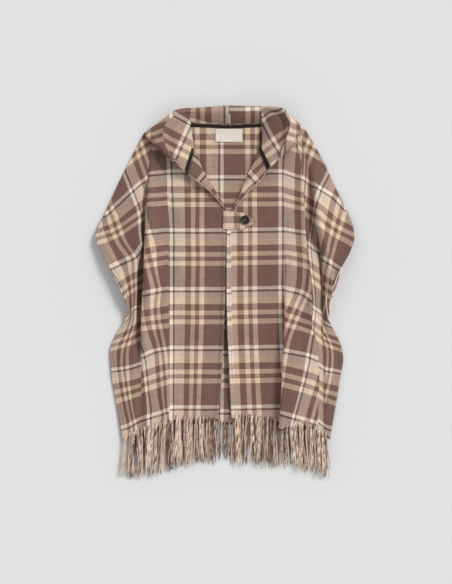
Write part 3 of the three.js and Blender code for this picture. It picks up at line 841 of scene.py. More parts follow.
def along(line, column, count):
    """Points spread along a line, evenly in the given column."""
    line = np.array(line, float)
    at = np.linspace(line[0, column], line[-1, column], count)
    order = np.argsort(line[:, column])
    read = [np.interp(at, line[order, column], line[order, c]) for c in (0, 1)]
    return np.stack(read, axis=1)


def back_grid(columns=90, rows=140):
    """A flat grid between the four edge lines, its cloth's middle one millimetre up."""
    s = np.linspace(0, 1, columns)[None, :, None]
    t = np.linspace(0, 1, rows)[:, None, None]
    top, hem = along(BACK_TOP, 0, columns)[None], along(BACK_HEM, 0, columns)[None]
    right, left = along(BACK_RIGHT, 1, rows)[:, None], along(BACK_LEFT, 1, rows)[:, None]
    flat = (1 - s) * right + s * left + (1 - t) * top + t * hem
    flat -= (1 - s) * (1 - t) * top[:, :1] + s * (1 - t) * top[:, -1:]
    flat -= (1 - s) * t * hem[:, :1] + s * t * hem[:, -1:]
    return np.concatenate([flat, np.full((rows, columns, 1), CLOTH / 2)], axis=2)


BACK_CHART = [(0, 267.5, -3, 0), (100, 267.5, -103, 0), (0, -136, -3, 411), (100, -136, -103, 411)]
back_points = back_grid()
back_uv = one_chart(back_points, BACK_CHART)
back = panel("back_cloth", back_points, back_uv)
finish_piece(back, "back")

# %% [markdown]
# ## The hood
# Two halves sewn at the centre back, open over the neck. Each row of the table crosses the hood from
# the neck seam over the highest line to the border. The crown is folded in below the back band, so
# the band stands solid there.

# %% The hood's rows
# Seam, crest and border, each x, y and height of the cloth's middle
HOOD_RIGHT = [
    ((8.85, 384, 3.2), (8.85, 412, 26), (8.85, 426.2, 12)),
    ((-46, 385.6, 3.4), (-46, 411, 28), (-46, 422, 12)),
    ((-78, 388, 4.2), (-100, 407, 30), (-109, 416, 14)),
    ((-77, 369, 6), (-126, 394, 34), (-134, 398, 24)),
    ((-74, 346, 7), (-140, 372, 32), (-160, 381, 14)),
    ((-71, 327, 7.6), (-140, 349, 30), (-182, 361, 12)),
    ((-75, 305, 13), (-134, 328, 30), (-155, 333, 24)),
    ((-86, 270, 20), (-109, 291, 27), (-127, 308, 27)),
]
HOOD_LEFT = [
    ((9.15, 384, 3.2), (9.15, 412, 26), (9.15, 426.2, 12)),
    ((48, 385.6, 3.4), (48, 412, 28), (48, 424, 12)),
    ((84, 388, 4.2), (94, 417, 33), (103, 421, 20)),
    ((81, 365, 6), (130, 413, 37), (136, 411, 26)),
    ((80, 342, 7), (144, 394, 38), (154, 395, 22)),
    ((78.4, 324.4, 7.6), (146, 378, 36), (172, 382, 9)),
    ((84.6, 308.8, 10), (141, 359, 32), (165, 353, 9)),
    ((90.8, 293.2, 12.5), (132, 334, 25), (155, 331, 10)),
    ((97, 277.6, 14), (116, 297, 17), (133, 316, 14)),
]
HOOD_STEPS = 12  # rows of the grid between two rows of the table
SEAM_TO_CREST = 24
CREST_TO_BORDER = 14
print("hood rows:", len(HOOD_RIGHT), "and", len(HOOD_LEFT))

# %% [markdown]
# Between seam, crest and border the cloth bulges a little. Under the back band the lower face goes
# down to the table, and further along it lifts to the cloth's own thickness.

# %% The hood's grid
SEAM_BULGE = 4
BORDER_BULGE = 3
BAND_FLOOR = ([0, 1, 1.5, 9], [0, 0, 2.6, 2.6])  # row of the table, height of the lower face


def hood_grid(rows):
    seam, crest, border = (
        spline([row[k] for row in rows], [HOOD_STEPS] * (len(rows) - 1)) for k in range(3)
    )
    stretches = ((seam, crest, SEAM_TO_CREST, SEAM_BULGE), (crest, border, CREST_TO_BORDER, BORDER_BULGE))
    parts = []
    for start, end, count, bulge in stretches:
        t = np.linspace(0, 1, count + 1)[None, :, None]
        arch = start[:, None] + (end - start)[:, None] * t
        arch[..., 2] += bulge * np.sin(np.pi * t[..., 0])
        parts.append(arch)
    return np.concatenate([parts[0][:, :-1], parts[1]], axis=1)


def hood_half(node, rows, creases, charts, choose):
    """One half of the hood; the right one runs the other way, so its columns are turned round."""
    grid = hood_grid(rows)
    if node == "hood_right":
        grid = grid[:, ::-1]
    grid = raise_creases(grid, creases)
    place = np.arange(len(grid)) / HOOD_STEPS
    solid = np.clip(5 - 2 * place, 0, 1)[:, None, None]
    under = grid.copy()
    under[..., 2] = np.interp(place, *BAND_FLOOR)[:, None]
    lower = (1 - solid) * (grid - facing(grid) * CLOTH / 2) + solid * under
    middle = (grid[:-1, :-1] + grid[1:, 1:]) / 2
    uv = corners(grid, [chart(c) for c in charts], choose(middle, np.indices(middle.shape[:2])))
    made = panel(f"{node}_cloth", grid, uv, lower=lower)
    finish_piece(made, node)
    return grid


# %% [markdown]
# Each half has three charts: the back band, the inner face and the outer flap, because the check
# lies at a different angle on each of them.

# %% The hood's halves
# Height, width, then the line as x and y pairs
HOOD_RIGHT_CREASES = [
    (2, 8, -172, 348, -154, 333, -127, 308, -106, 290, -88, 276),
    (2.5, 5, -140, 372, -141, 350, -137, 330, -126, 304),
    (-2.5, 7, -128, 376, -126, 350, -118, 320),
    (2.0, 5, -104, 412, -122, 408, -136, 398),
    (-3.0, 6, -60, 409, -92, 404, -120, 396),
    (1.5, 5, -60, 404, -20, 408, 6, 405),
    (2.0, 6, -172, 372, -160, 352, -140, 326),
]
HOOD_LEFT_CREASES = [
    (5.5, 4.5, 96, 419, 115, 418, 131, 413, 144, 396, 146, 383, 143, 363, 137, 348, 131, 330, 124, 310),
    (-5.5, 7, 100, 409, 116, 407, 128, 401, 134, 388, 134, 370, 128, 350, 120, 332, 112, 310),
    (2.5, 5, 88, 412, 87, 392, 92, 376),
    (-2.5, 6, 74, 410, 76, 398, 78, 390),
    (1.8, 7, 100, 372, 104, 348, 102, 322),
    (1.5, 5, 160, 386, 164, 368, 160, 352),
]
# X, y, then the place in the check
HOOD_RIGHT_CHARTS = [
    [(-79.4, 399.1, 88.6, 137), (-36.8, 388.7, 46, 137), (-79.4, 419.1, 88.6, 117), (9, 384, 0.2, 137.5)],
    [(-103.5, 394.5, -18.9, 9.4), (-103.5, 325.5, 8.5, 72.5), (-138, 371.5, -42.5, 46.5)],
    [
        (-167.9, 363.4, 88.3, 55.2), (-167.9, 340.4, 88.3, 82.7), (-144.9, 363.4, 114.3, 64.1),
        (-125, 307, 118, 122),
    ],
]
HOOD_LEFT_CHARTS = [
    [(20, 412.2, 114.3, 137), (20, 392.2, 114.3, 117), (60, 412.2, 74.3, 137)],
    [
        (103.5, 348.5, 10.8, 87.2), (138, 383, -36.3, 99.5), (89.7, 392, 4.1, 139), (115, 314, 18.4, 51.7),
        (105, 406, -16, 142), (122, 408, -34, 142),
    ],
    [(157, 390, 34, 34), (143, 335, 18, 100), (179, 360, 60, 62)],
]


def choose_right(middle, index):
    outer = index[1] < CREST_TO_BORDER
    band = (middle[..., 0] > -79.5) & (middle[..., 1] > 386)
    return np.where(band, 0, np.where(outer & (index[0] > 2.4 * HOOD_STEPS), 2, 1))


def choose_left(middle, index):
    outer = index[1] >= SEAM_TO_CREST
    band = (middle[..., 0] < 85) & (middle[..., 1] > 386)
    return np.where(band, 0, np.where(outer & (index[0] > 3 * HOOD_STEPS), 2, 1))


hood_right_grid = hood_half(
    "hood_right", HOOD_RIGHT, HOOD_RIGHT_CREASES, HOOD_RIGHT_CHARTS, choose_right
)
hood_left_grid = hood_half(
    "hood_left", HOOD_LEFT, HOOD_LEFT_CREASES, HOOD_LEFT_CHARTS, choose_left
)

# %% [markdown]
# ## The lapels
# The front corners turned back, each a strip between its roll line and its edge.

# %% The lapels
# Roll line and edge, each x, y and height of the cloth's middle
LAPEL_RIGHT = [
    ((-69, 324, 7.2), (-85, 268, 20)), ((-53, 285, 7.2), (-65, 253, 19)),
    ((-34, 249, 7.2), (-45, 238, 17)), ((-18, 225, 7.2), (-27, 222, 12.5)),
    ((-6, 204, 7), (-12, 205, 9.2)), ((1, 190, 7), (-2, 193, 7.6)),
]
LAPEL_LEFT = [
    ((76.8, 323.3, 7.2), (95.4, 276.6, 14)), ((64, 292, 7.2), (85, 258, 13)),
    ((54, 271, 7.2), (71, 245, 12)), ((39, 235, 7.2), (48, 222, 10)),
    ((27, 208, 7), (32, 201, 8.5)), ((17, 189, 7), (20, 187, 7.6)),
]
LAPEL_RIGHT_CHART = [
    (-69, 302.5, -31.5, 141.8), (-46, 256.5, 15, 120.2), (-23, 233.5, 47.2, 116.5),
    (-46, 233.5, 29.2, 102.3),
]
LAPEL_LEFT_CHART = [(71.3, 291, 80.7, -14.4), (71.3, 256.5, 55.7, 5.2), (48.3, 240.4, 59.8, 28.2)]
LAPEL_STEPS = 12  # rows of the grid between two rows of the table
LAPEL_ACROSS = 18
LAPEL_BULGE = 2


def lapel_grid(rows):
    roll, edge = (spline([row[k] for row in rows], [LAPEL_STEPS] * (len(rows) - 1)) for k in (0, 1))
    t = np.linspace(0, 1, LAPEL_ACROSS + 1)[None, :, None]
    grid = roll[:, None] + (edge - roll)[:, None] * t
    swell = np.sin(np.pi * np.linspace(0, 1, len(roll)))[:, None]
    grid[..., 2] += LAPEL_BULGE * np.sin(np.pi * t[..., 0]) * swell
    return grid


def lapel(node, rows, landmarks):
    grid = lapel_grid(rows)
    if node == "lapel_right":
        grid = grid[:, ::-1]
    made = panel(f"{node}_cloth", grid, one_chart(grid, landmarks))
    finish_piece(made, node)
    return grid


lapel_right_grid = lapel("lapel_right", LAPEL_RIGHT, LAPEL_RIGHT_CHART)
lapel_left_grid = lapel("lapel_left", LAPEL_LEFT, LAPEL_LEFT_CHART)

# %% [markdown]
# ## The tab and its button
# The tab lies on both fronts. Its outline is a short strip with a blunt point, cut across the check.

# %% The tab
TAB_LEFT = [(-3, 184), (-4, 144)]
TAB_RIGHT = [(47, 180), (63, 164), (63, 156), (45, 142)]
TAB_MIDDLE = 7.7
TAB_THICKNESS = 2.6
TAB_SWELL = 0.25
TAB_CHART = [(21.4, 158, 41.4, 41.4), (21.4, 174.3, 41.4, 56.1), (36.4, 158, 56.4, 41.4)]


def tab_grid(columns=56, rows=40):
    t = np.linspace(0, 1, rows)
    start = along(TAB_LEFT, 1, rows)
    lengths = np.concatenate([[0], np.cumsum(np.linalg.norm(np.diff(TAB_RIGHT, axis=0), axis=1))])
    ends = np.array(TAB_RIGHT, float)
    end = np.stack([np.interp(t * lengths[-1], lengths, ends[:, c]) for c in (0, 1)], axis=1)
    s = np.linspace(0, 1, columns)[None, :, None]
    plan = start[:, None] + (end - start)[:, None] * s
    swell = TAB_SWELL * np.sin(np.pi * t)[:, None] * np.sin(np.pi * s[..., 0])
    return np.concatenate([plan, (TAB_MIDDLE + swell)[..., None]], axis=2)


tab_points = tab_grid()
tab_upper = tab_points + [0, 0, TAB_THICKNESS / 2]
tab_lower = tab_points * [1, 1, 0] + [0, 0, TAB_MIDDLE - TAB_THICKNESS / 2]
tab = panel("tab_cloth", tab_points, one_chart(tab_points, TAB_CHART), tab_upper, tab_lower)
finish_piece(tab, "tab")

# %% [markdown]
# The button is turned from dark horn-like plastic: a raised rim, a dished middle and four holes with
# a cross of thread. A cylinder is inset, pushed down and bevelled, and the holes are cut with small
# cylinders.

# %% Modelling helpers
def deselect():
    bpy.ops.object.select_all(action="DESELECT")


def apply_modifier(thing, name, kind, **settings):
    """Adds a modifier to a piece and applies it at once."""
    bpy.context.view_layer.objects.active = thing
    made = thing.modifiers.new(name, kind)
    for key, value in settings.items():
        setattr(made, key, value)
    bpy.ops.object.modifier_apply(modifier=made.name)


def settle(thing, name):
    """Puts a modelled piece's place into its mesh."""
    deselect()
    thing.select_set(True)
    bpy.context.view_layer.objects.active = thing
    bpy.ops.object.transform_apply(location=True, rotation=True, scale=True)
    thing.name = name
    thing.data.name = name


# %% [markdown]
# The rim is an inset of the top face. The dish is pushed down in two steps, and the bevel rounds all
# sharp edges before the holes are cut.

# %% The button
BUTTON_PLACE = (46, 164)
BUTTON_RADIUS = 10.5
BUTTON_FOOT = 9.3
BUTTON_HEIGHT = 4.0
BUTTON_ROUNDING = 0.0007
RIM_WIDTH = 0.0021
RIM_SLOPE = 0.0009
DISH_DEPTH = 0.0011
DISH_SLOPE = 0.0025
DISH_MIDDLE = 0.0003
HOLE_OFFSET = 1.9
HOLE_RADIUS = 0.85
HOLE_CUT = (0.006, 0.0042)  # the cutter's depth, and its middle above the button's foot


def plastic_finish():
    made = Finish("dark_button", Roughness=0.3, Specular_IOR_Level=0.5)
    cloud = made.noise(made.object_place(), 260, 2.0)
    made.colour(made.mix(cloud, opaque(26, 22, 20), opaque(52, 45, 41)))
    return made.material


def button_blank(middle):
    """A rounded disc with a raised rim and a dished middle."""
    deselect()
    height = BUTTON_HEIGHT * MM
    place = (*middle, BUTTON_FOOT * MM + height / 2)
    bpy.ops.mesh.primitive_cylinder_add(
        vertices=64, radius=BUTTON_RADIUS * MM, depth=height, location=place
    )
    made = bpy.context.object
    bpy.ops.object.mode_set(mode="EDIT")
    bpy.ops.mesh.select_mode(type="FACE")
    bpy.ops.mesh.select_all(action="DESELECT")
    bpy.ops.object.mode_set(mode="OBJECT")
    for face in made.data.polygons:
        face.select = face.normal.z > 0.9
    bpy.ops.object.mode_set(mode="EDIT")
    bpy.ops.mesh.inset(thickness=RIM_WIDTH)
    bpy.ops.mesh.inset(thickness=RIM_SLOPE)
    bpy.ops.transform.translate(value=(0, 0, -DISH_DEPTH))
    bpy.ops.mesh.inset(thickness=DISH_SLOPE)
    bpy.ops.transform.translate(value=(0, 0, -DISH_MIDDLE))
    bpy.ops.object.mode_set(mode="OBJECT")
    apply_modifier(made, "rounded", "BEVEL", width=BUTTON_ROUNDING, segments=3, limit_method="ANGLE")
    return made


def drill(made, x, y):
    depth, lift = HOLE_CUT
    deselect()
    bpy.ops.mesh.primitive_cylinder_add(
        vertices=16, radius=HOLE_RADIUS * MM, depth=depth, location=(x, y, BUTTON_FOOT * MM + lift)
    )
    cutter = bpy.context.object
    deselect()
    apply_modifier(made, "hole", "BOOLEAN", operation="DIFFERENCE", object=cutter)
    bpy.data.objects.remove(cutter)


button_middle = (BUTTON_PLACE[0] * MM, BUTTON_PLACE[1] * MM)
button = button_blank(button_middle)
for x in (-HOLE_OFFSET, HOLE_OFFSET):
    for y in (-HOLE_OFFSET, HOLE_OFFSET):
        drill(button, button_middle[0] + x * MM, button_middle[1] + y * MM)
settle(button, "button_turned")
bpy.ops.object.shade_smooth_by_angle(angle=math.radians(35))
button.data.materials.append(plastic_finish())
finish_piece(button, "button")
print("button:", len(button.data.polygons), "faces")

# %% [markdown]
# ## Neck tape and label
# A ribbed black tape covers the neck seam. The label is bare satin, a little lifted at its lower edge.


# %% Tape and label finishes
TAPE_RIB = 0.0011
LABEL_THREAD = 0.0006


def tape_finish():
    made = Finish("neck_tape", Roughness=0.8, Specular_IOR_Level=0.3)
    ribs = made.across_and_down(made.chart_place())[1].ridges(TAPE_RIB)
    made.colour(made.mix(ribs * 0.6, opaque(20, 17, 15), opaque(52, 46, 41)))
    made.bump(ribs, 0.0003, 0.6)
    return made.material


def label_finish():
    made = Finish("bare_label", Roughness=0.62, Specular_IOR_Level=0.35)
    threads = made.across_and_down(made.chart_place())[1].ridges(LABEL_THREAD)
    share = threads * 0.3 + made.noise(made.object_place(), 90, 2.0) * 0.7
    made.colour(made.mix(share, opaque(222, 213, 199), opaque(238, 231, 219)))
    made.bump(threads, 0.00015, 0.4)
    return made.material


TAPE_BLACK = tape_finish()
LABEL_SATIN = label_finish()
print("finishes:", TAPE_BLACK.name, LABEL_SATIN.name)

# %% [markdown]
# The tape lies flat on the back panel, and on the hood it follows the cloth beside the neck seam,
# growing wider towards the hood's ends. Its chart is a run of lengths, so that the ribs stay even.

# %% Neck tape
TAPE_WIDTH = 7
TAPE_INSET = 1.5
TAPE_THICKNESS = 1.0
TAPE_LINES = 6  # columns of the grid from one edge of the tape to the other
TAPE_SPREAD = (0.85, 1.45)  # share of the width at the back and at the hood's end
SEAM_GAP = 0.3
TAPE_BACK = [(-78, 385.4), (9, 381.4), (84, 385.4)]


def run_uv(grid):
    """A chart of arc lengths: across first, then down."""
    down = np.linalg.norm(np.diff(grid, axis=0), axis=2).cumsum(axis=0)
    v = np.concatenate([np.zeros((1, grid.shape[1])), down], axis=0)
    both = np.stack([run_across(grid), v], axis=2)
    return np.stack([both[:-1, :-1], both[1:, :-1], both[1:, 1:], both[:-1, 1:]], axis=2)


def strip(name, grid, node, finish, thickness):
    half = facing(grid) * thickness / 2
    made = panel(name, grid, run_uv(grid), grid + half, grid - half, rim=0.15, finish=finish)
    finish_piece(made, node)


def tape_on_back(count=80):
    upper = along(TAPE_BACK, 0, count)
    height = np.full(count, CLOTH + SEAM_GAP + TAPE_THICKNESS / 2)
    step = TAPE_WIDTH / (TAPE_LINES - 1)
    return np.array([np.column_stack([upper - [0, k * step], height]) for k in range(TAPE_LINES)])


def tape_on_hood(grid, first_row, mirrored):
    """A strip beside the neck seam, made from the hood's points moved out."""
    if mirrored:
        grid = grid[:, ::-1]
    grid = grid[first_row:]
    up = facing(grid) * (-1 if mirrored else 1)
    lifted = grid + up * (CLOTH / 2 + SEAM_GAP + TAPE_THICKNESS / 2)
    wide = TAPE_WIDTH * np.linspace(*TAPE_SPREAD, len(grid))
    run = run_across(grid)
    shares = [k / (TAPE_LINES - 1) for k in range(TAPE_LINES)]
    lines = np.stack([at_distance(run, lifted, TAPE_INSET + wide * share) for share in shares], axis=1)
    return lines[:, ::-1] if mirrored else lines


strip("tape_back", tape_on_back(), "neck_tape_back", TAPE_BLACK, TAPE_THICKNESS)
tape_right = tape_on_hood(hood_right_grid, 5 * HOOD_STEPS, True)
strip("tape_right", tape_right, "neck_tape_right", TAPE_BLACK, TAPE_THICKNESS)
tape_left = tape_on_hood(hood_left_grid, 3 * HOOD_STEPS, False)
strip("tape_left", tape_left, "neck_tape_left", TAPE_BLACK, TAPE_THICKNESS)

# %% [markdown]
# The label is sewn at its top and sides only, so its lower edge stands off the cloth in a shallow wave.

# %% Label
LABEL_SIZE = {"left": -22, "right": 40, "top": 374, "bottom": 344}
LABEL_THICKNESS = 0.8
LABEL_HEIGHT = 2.8
LABEL_LIFT = 1.2


def label_grid(columns=40, rows=24):
    x = np.linspace(LABEL_SIZE["left"], LABEL_SIZE["right"], columns)
    y = np.linspace(LABEL_SIZE["top"], LABEL_SIZE["bottom"], rows)
    grid = np.zeros((rows, columns, 3))
    grid[..., 0], grid[..., 1] = x[None], y[:, None]
    low = np.linspace(0, 1, rows)[:, None] ** 2
    wave = 0.6 + 0.4 * np.sin(np.linspace(0.4, 5.4, columns))[None]
    grid[..., 2] = LABEL_HEIGHT + LABEL_LIFT * low * wave
    return grid


strip("label_bare", label_grid(), "label", LABEL_SATIN, LABEL_THICKNESS)

# %% [markdown]
# ## Stitches
# Edges are topstitched in matching thread, the hood's centre seam is closed with a pale zigzag, and the
# button is held by a cross of thread. A stitch is a short rounded thread that dips into the cloth at
# both ends. One helper lays them along a line that is made from the cloth's own points moved out.


# %% Thread
def thread_finish(name, *rgb):
    made = Finish(name, Roughness=0.7, Specular_IOR_Level=0.3)
    fibre = made.noise(made.object_place(), 900, 2.0)
    shade = linear(*rgb)
    dark, pale = (*(v * 0.7 for v in shade), 1), (*(min(1, v * 1.3) for v in shade), 1)
    made.colour(made.mix(fibre, dark, pale))
    made.bump(fibre, 0.0002, 0.4)
    return made.material


THREAD_BROWN = thread_finish("brown_thread", 104, 80, 68)
THREAD_PALE = thread_finish("pale_thread", 226, 216, 204)
THREAD_TAN = thread_finish("tan_thread", 196, 170, 152)
# Dark thread: real on the arm's opening, painted shade along the left hood's rim
THREAD_DARK_AND_SHADE = thread_finish("dark_thread_and_painted_shade", 62, 44, 36)
print("threads:", THREAD_BROWN.name, THREAD_PALE.name, THREAD_TAN.name, THREAD_DARK_AND_SHADE.name)

# %% [markdown]
# One stitch is a six-sided thread, bent so that it stands a little proud in its middle and dips into
# the cloth at both ends. A zigzag swings its two ends to opposite sides of the line.

# %% Stitches
THREAD_SIDES = 6
STITCH_RINGS = 6
STITCH_RISE = 0.15
STITCH_DIP = 0.45


def one_stitch(start, end, up, thick):
    t = np.linspace(0, 1, STITCH_RINGS)[:, None]
    middle = start + (end - start) * t + up * (STITCH_RISE - STITCH_DIP * (2 * t - 1) ** 4)
    ahead = (end - start) / np.linalg.norm(end - start)
    side = np.cross(up, ahead)
    angle = 2 * np.pi * np.arange(THREAD_SIDES) / THREAD_SIDES
    ring = np.cos(angle)[:, None] * side + np.sin(angle)[:, None] * up
    points = (middle[:, None] + ring[None] * thick / 2).reshape(-1, 3)
    faces = []
    for i in range(STITCH_RINGS - 1):
        for k in range(THREAD_SIDES):
            a, b = i * THREAD_SIDES + k, i * THREAD_SIDES + (k + 1) % THREAD_SIDES
            faces.append((a, a + THREAD_SIDES, b + THREAD_SIDES, b))
    last = (STITCH_RINGS - 1) * THREAD_SIDES
    faces.append(tuple(range(THREAD_SIDES)))
    faces.append(tuple(range(last, last + THREAD_SIDES))[::-1])
    return points, faces


def stitches(name, runs, finish=THREAD_BROWN, length=3.2, gap=1.3, thick=0.7, zigzag=0.0):
    """Stitches along runs of points, each with the upward direction at every point."""
    points, faces, used, done = [], [], 0, 0
    for line, up in runs:
        run = np.concatenate([[0], np.cumsum(np.linalg.norm(np.diff(line, axis=0), axis=1))])

        def at(place):
            spot = np.array([np.interp(place, run, line[:, c]) for c in range(3)])
            lift = np.array([np.interp(place, run, up[:, c]) for c in range(3)])
            return spot, lift / np.linalg.norm(lift)

        place = gap
        while place + length < run[-1]:
            (a, up_a), (b, _) = at(place), at(place + length)
            swing = zigzag if done % 2 else -zigzag
            aside = np.cross(up_a, (b - a) / np.linalg.norm(b - a)) * swing
            thread, sides = one_stitch(a - aside, b + aside, up_a, thick)
            points.append(thread)
            faces += [tuple(v + used for v in face) for face in sides]
            used += len(thread)
            done += 1
            place += length + gap
    piece = add_mesh(name, np.concatenate(points), faces, finish=finish)
    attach(piece, "root")
    print(name, done, "stitches")


# %% [markdown]
# Most lines run beside an edge, so they are read off the cloth's own grid: a given way in from the
# first or the last column. A rolled hem lies on the edge itself, as a row of long overlapping threads.

# %% Lines on the cloth
def beside_edge(grid, inset, first=0, last=None, from_end=False):
    """A line on the cloth's face, a given way in from its first or last column."""
    up = facing(grid)
    if from_end:
        grid, up = grid[:, ::-1], up[:, ::-1]
    grid, up = grid[first:last], up[first:last]
    run = run_across(grid)
    way = at_distance(run, up, inset)
    return at_distance(run, grid, inset) + way * (CLOTH / 2), way


def on_row(grid, row, first=None, last=None):
    """A line on the cloth's face, along a stretch of one row."""
    up = facing(grid)[row, first:last]
    return grid[row, first:last] + up * CLOTH / 2, up


def on_cloth(grid, path, count=60):
    """A path given in plan, laid on the upper face of a grid."""
    path = np.array(path, float)
    at = np.linspace(0, len(path) - 1, count)
    plan = np.stack([np.interp(at, np.arange(len(path)), path[:, c]) for c in (0, 1)], axis=1)
    spots, ways = grid.reshape(-1, 3), facing(grid).reshape(-1, 3)
    near = np.array([((spots[:, :2] - place) ** 2).sum(axis=1).argmin() for place in plan])
    height = np.convolve(np.pad(spots[near, 2], 2, mode="edge"), np.ones(5) / 5, mode="valid")
    return np.column_stack([plan, height]) + [0, 0, CLOTH / 2 - 0.2], ways[near]


def flat_run(points, height, count):
    """A line through points in plan, at one height and facing up."""
    line = np.array([(x, y, height) for x, y in points], float)
    fine = np.linspace(0, len(line) - 1, count)
    line = np.stack([np.interp(fine, np.arange(len(line)), line[:, c]) for c in range(3)], axis=1)
    return line, np.tile([0.0, 0.0, 1.0], (count, 1))


# %% [markdown]
# Matching brown topstitching holds the fronts' centre edges below the tab, the arms' edges, the
# lapels and the hood's outer ends.

# %% Topstitching
CENTRE_INSET = 6.5
ARM_INSET = 9
LAPEL_INSET = 3.4
HOOD_INSET = 4
BELOW_TAB = int(ROWS_DOWN * 0.37)
BELOW_SHOULDER = 40
FLAP_START = int(4.2 * HOOD_STEPS)
stitches(
    "edge_stitches",
    [
        beside_edge(right_grid, CENTRE_INSET, BELOW_TAB, -2, from_end=True),
        beside_edge(left_grid, CENTRE_INSET, BELOW_TAB, -2),
        beside_edge(right_grid, ARM_INSET, BELOW_SHOULDER, -4),
        beside_edge(left_grid, ARM_INSET, BELOW_SHOULDER, -4, from_end=True),
    ],
    thick=0.9,
)
# Real topstitching, drawn thick and nearly unbroken so that it also paints the shade line under the rolled
# edges
lapel_stitch_shade_lines = [
    beside_edge(lapel_right_grid, LAPEL_INSET, 2, -2),
    beside_edge(lapel_left_grid, LAPEL_INSET, 2, -2, from_end=True),
]
stitches("lapel_stitches_and_shade_line", lapel_stitch_shade_lines, thick=1.1, gap=0.6)
hood_stitch_shade_lines = [
    beside_edge(hood_right_grid, HOOD_INSET, FLAP_START, -2),
    beside_edge(hood_left_grid, HOOD_INSET, FLAP_START, -2, from_end=True),
]
stitches("hood_stitches_and_shade_line", hood_stitch_shade_lines, thick=1.1, gap=0.6)

# %% [markdown]
# The lapels' and the hood's cut edges are rolled and whipped, and so is the left arm's opening, where
# a pale hem shows with a dark line of thread beside it. A dark thread also follows the left hood's rim:
# it is painted shade, standing for the shadow on the steep inner wall under the raised rim.

# %% Rolled edges
ARM_OPENING = (77, 108)  # rows
# Path of a dark thread that is painted shade: the shadow inside the left hood's raised rim
HOOD_RIM_SHADE_PATH = [
    (112, 420), (132, 415), (142, 405), (147, 393), (146.5, 380), (144, 366), (137, 346), (129, 325),
    (120, 310),
]
rolled_lines = [
    beside_edge(lapel_right_grid, 0.4, 1, -1),
    beside_edge(lapel_left_grid, 0.4, 1, -1, from_end=True),
    on_row(hood_left_grid, -1, first=3),
    on_row(hood_right_grid, -1, last=-3),
]
stitches("rolled_hems", rolled_lines, THREAD_TAN, 7, -0.5, 1.9)
opening_hem = beside_edge(left_grid, 0.6, *ARM_OPENING, from_end=True)
stitches("armhole_hem", [opening_hem], THREAD_PALE, 7, -0.5, 2.2)
opening_line = beside_edge(left_grid, 3.6, *ARM_OPENING, from_end=True)
stitches("armhole_stitches", [opening_line], THREAD_DARK_AND_SHADE, 3.2, 0.5, 1.4)
# Painted shade: this dark thread stands for the shadow on the inner wall under the left rim
stitches("hood_rim_painted_shade", [on_cloth(hood_left_grid, HOOD_RIM_SHADE_PATH)], THREAD_DARK_AND_SHADE, 5, -0.5, 1.5)

# %% [markdown]
# The small pieces are sewn by hand or on their edge: the tab all round, the label at its top and
# sides, the hood's centre seam with a pale zigzag, and the button with a cross of tan thread.

# %% Tab, centre seam, label and button threads
TAB_LINE = [(-0.4, 181.4), (46, 177.6), (60.4, 163.4), (60.4, 156.6), (45.2, 144.6), (-1.4, 146.6)]
LABEL_LINES = [((-20.5, 372.8), (38.5, 372.8)), ((-21, 372), (-21, 347)), ((39, 372), (39, 347))]
ZIGZAG_SHIFT = 2.4  # from the left half's edge to the seam
tab_line = flat_run([*TAB_LINE, TAB_LINE[0]], TAB_MIDDLE + TAB_THICKNESS / 2, 120)
stitches("tab_stitches", [tab_line], length=2.6, gap=1.0)
seam_points, seam_up = on_row(hood_left_grid, 1, 2, 20)
seam_line = (seam_points - [ZIGZAG_SHIFT, 0, 0], seam_up)
stitches("centre_seam_zigzag", [seam_line], THREAD_PALE, 1.9, 0.1, 1.5, zigzag=2.2)
label_lines = [flat_run(line, 3.3, 12) for line in LABEL_LINES]
stitches("label_stitches", label_lines, THREAD_PALE, 2.0, 0.9, 0.45)
button_top = BUTTON_FOOT + BUTTON_HEIGHT - 1.0
reach = HOLE_OFFSET * 1.05
button_lines = []
for slant, lift in ((1, 0.3), (-1, 0)):
    ends = [(BUTTON_PLACE[0] + way * reach, BUTTON_PLACE[1] + way * slant * reach) for way in (-1, 1)]
    button_lines.append(flat_run(ends, button_top + lift, 12))
stitches("button_thread", button_lines, THREAD_TAN, 2 * reach - 0.1, 0.02, 0.9)

# %% [markdown]
# ## The fringe
# The warp ends are gathered and twisted in pairs, so each cord shows two plies winding round each
# other, coloured from the stripe above. In half the cords the second ply is the first darkened, as
# painted shade in the groove between the plies. The cords of the fronts lie on those of the back.
# Roots are held in a narrow strip just under the hem.

# %% Yarn
YARN_MIX = np.array(linear(216, 194, 176))  # the pale nap that all cords share
PALEST = 0.88  # the brightest channel of a cord, so that pale yarn keeps its warm tone


def yarn_finish():
    made = Finish("fringe_yarn", Roughness=0.9, Specular_IOR_Level=0.2)
    made.feed(made.shader.inputs["Sheen Weight"], 0.1)
    yarn = made.node("ShaderNodeVertexColor", {"layer_name": "yarn"})
    wool = made.noise(made.object_place(), 700, 3.0)
    made.colour(made.scaled(yarn, 0.8 + wool * 0.4))
    made.bump(wool, 0.0006, 0.5)
    return made.material


def not_too_pale(shade):
    return shade * min(1, PALEST / shade.max())


def plies(here, beside, pale, pairing, extra):
    """The colours of a cord's two plies, from the stripes above it; three numbers are drawn."""
    first = not_too_pale((0.64 * here + 0.36 * YARN_MIX) * (1.1 + 0.45 * pale))
    if pairing < 0.5:
        # Painted shade: the second ply is the first at half strength, for the groove between two plies of
        # one yarn
        return first, first * 0.5
    if pairing < 0.8:
        return first, np.array(YARN["brown"] if here.mean() > 0.3 else YARN["grey"]) * 0.85
    return first, (0.6 * beside + 0.4 * YARN_MIX) * (0.6 + 0.5 * extra)


YARN_FINISH = yarn_finish()
print("finish:", YARN_FINISH.name)

# %% [markdown]
# A cord is a tube whose section is pinched into two rounds and turns as it runs. It leaves the hem,
# eases down to rest and thins to its tip, where half of them are bound in a darker shade.

# %% One cord
CORD_RINGS = 30
CORD_SIDES = 10
SETTLED = 1.6  # a cord has come down to rest after 1 / 1.6 of its length


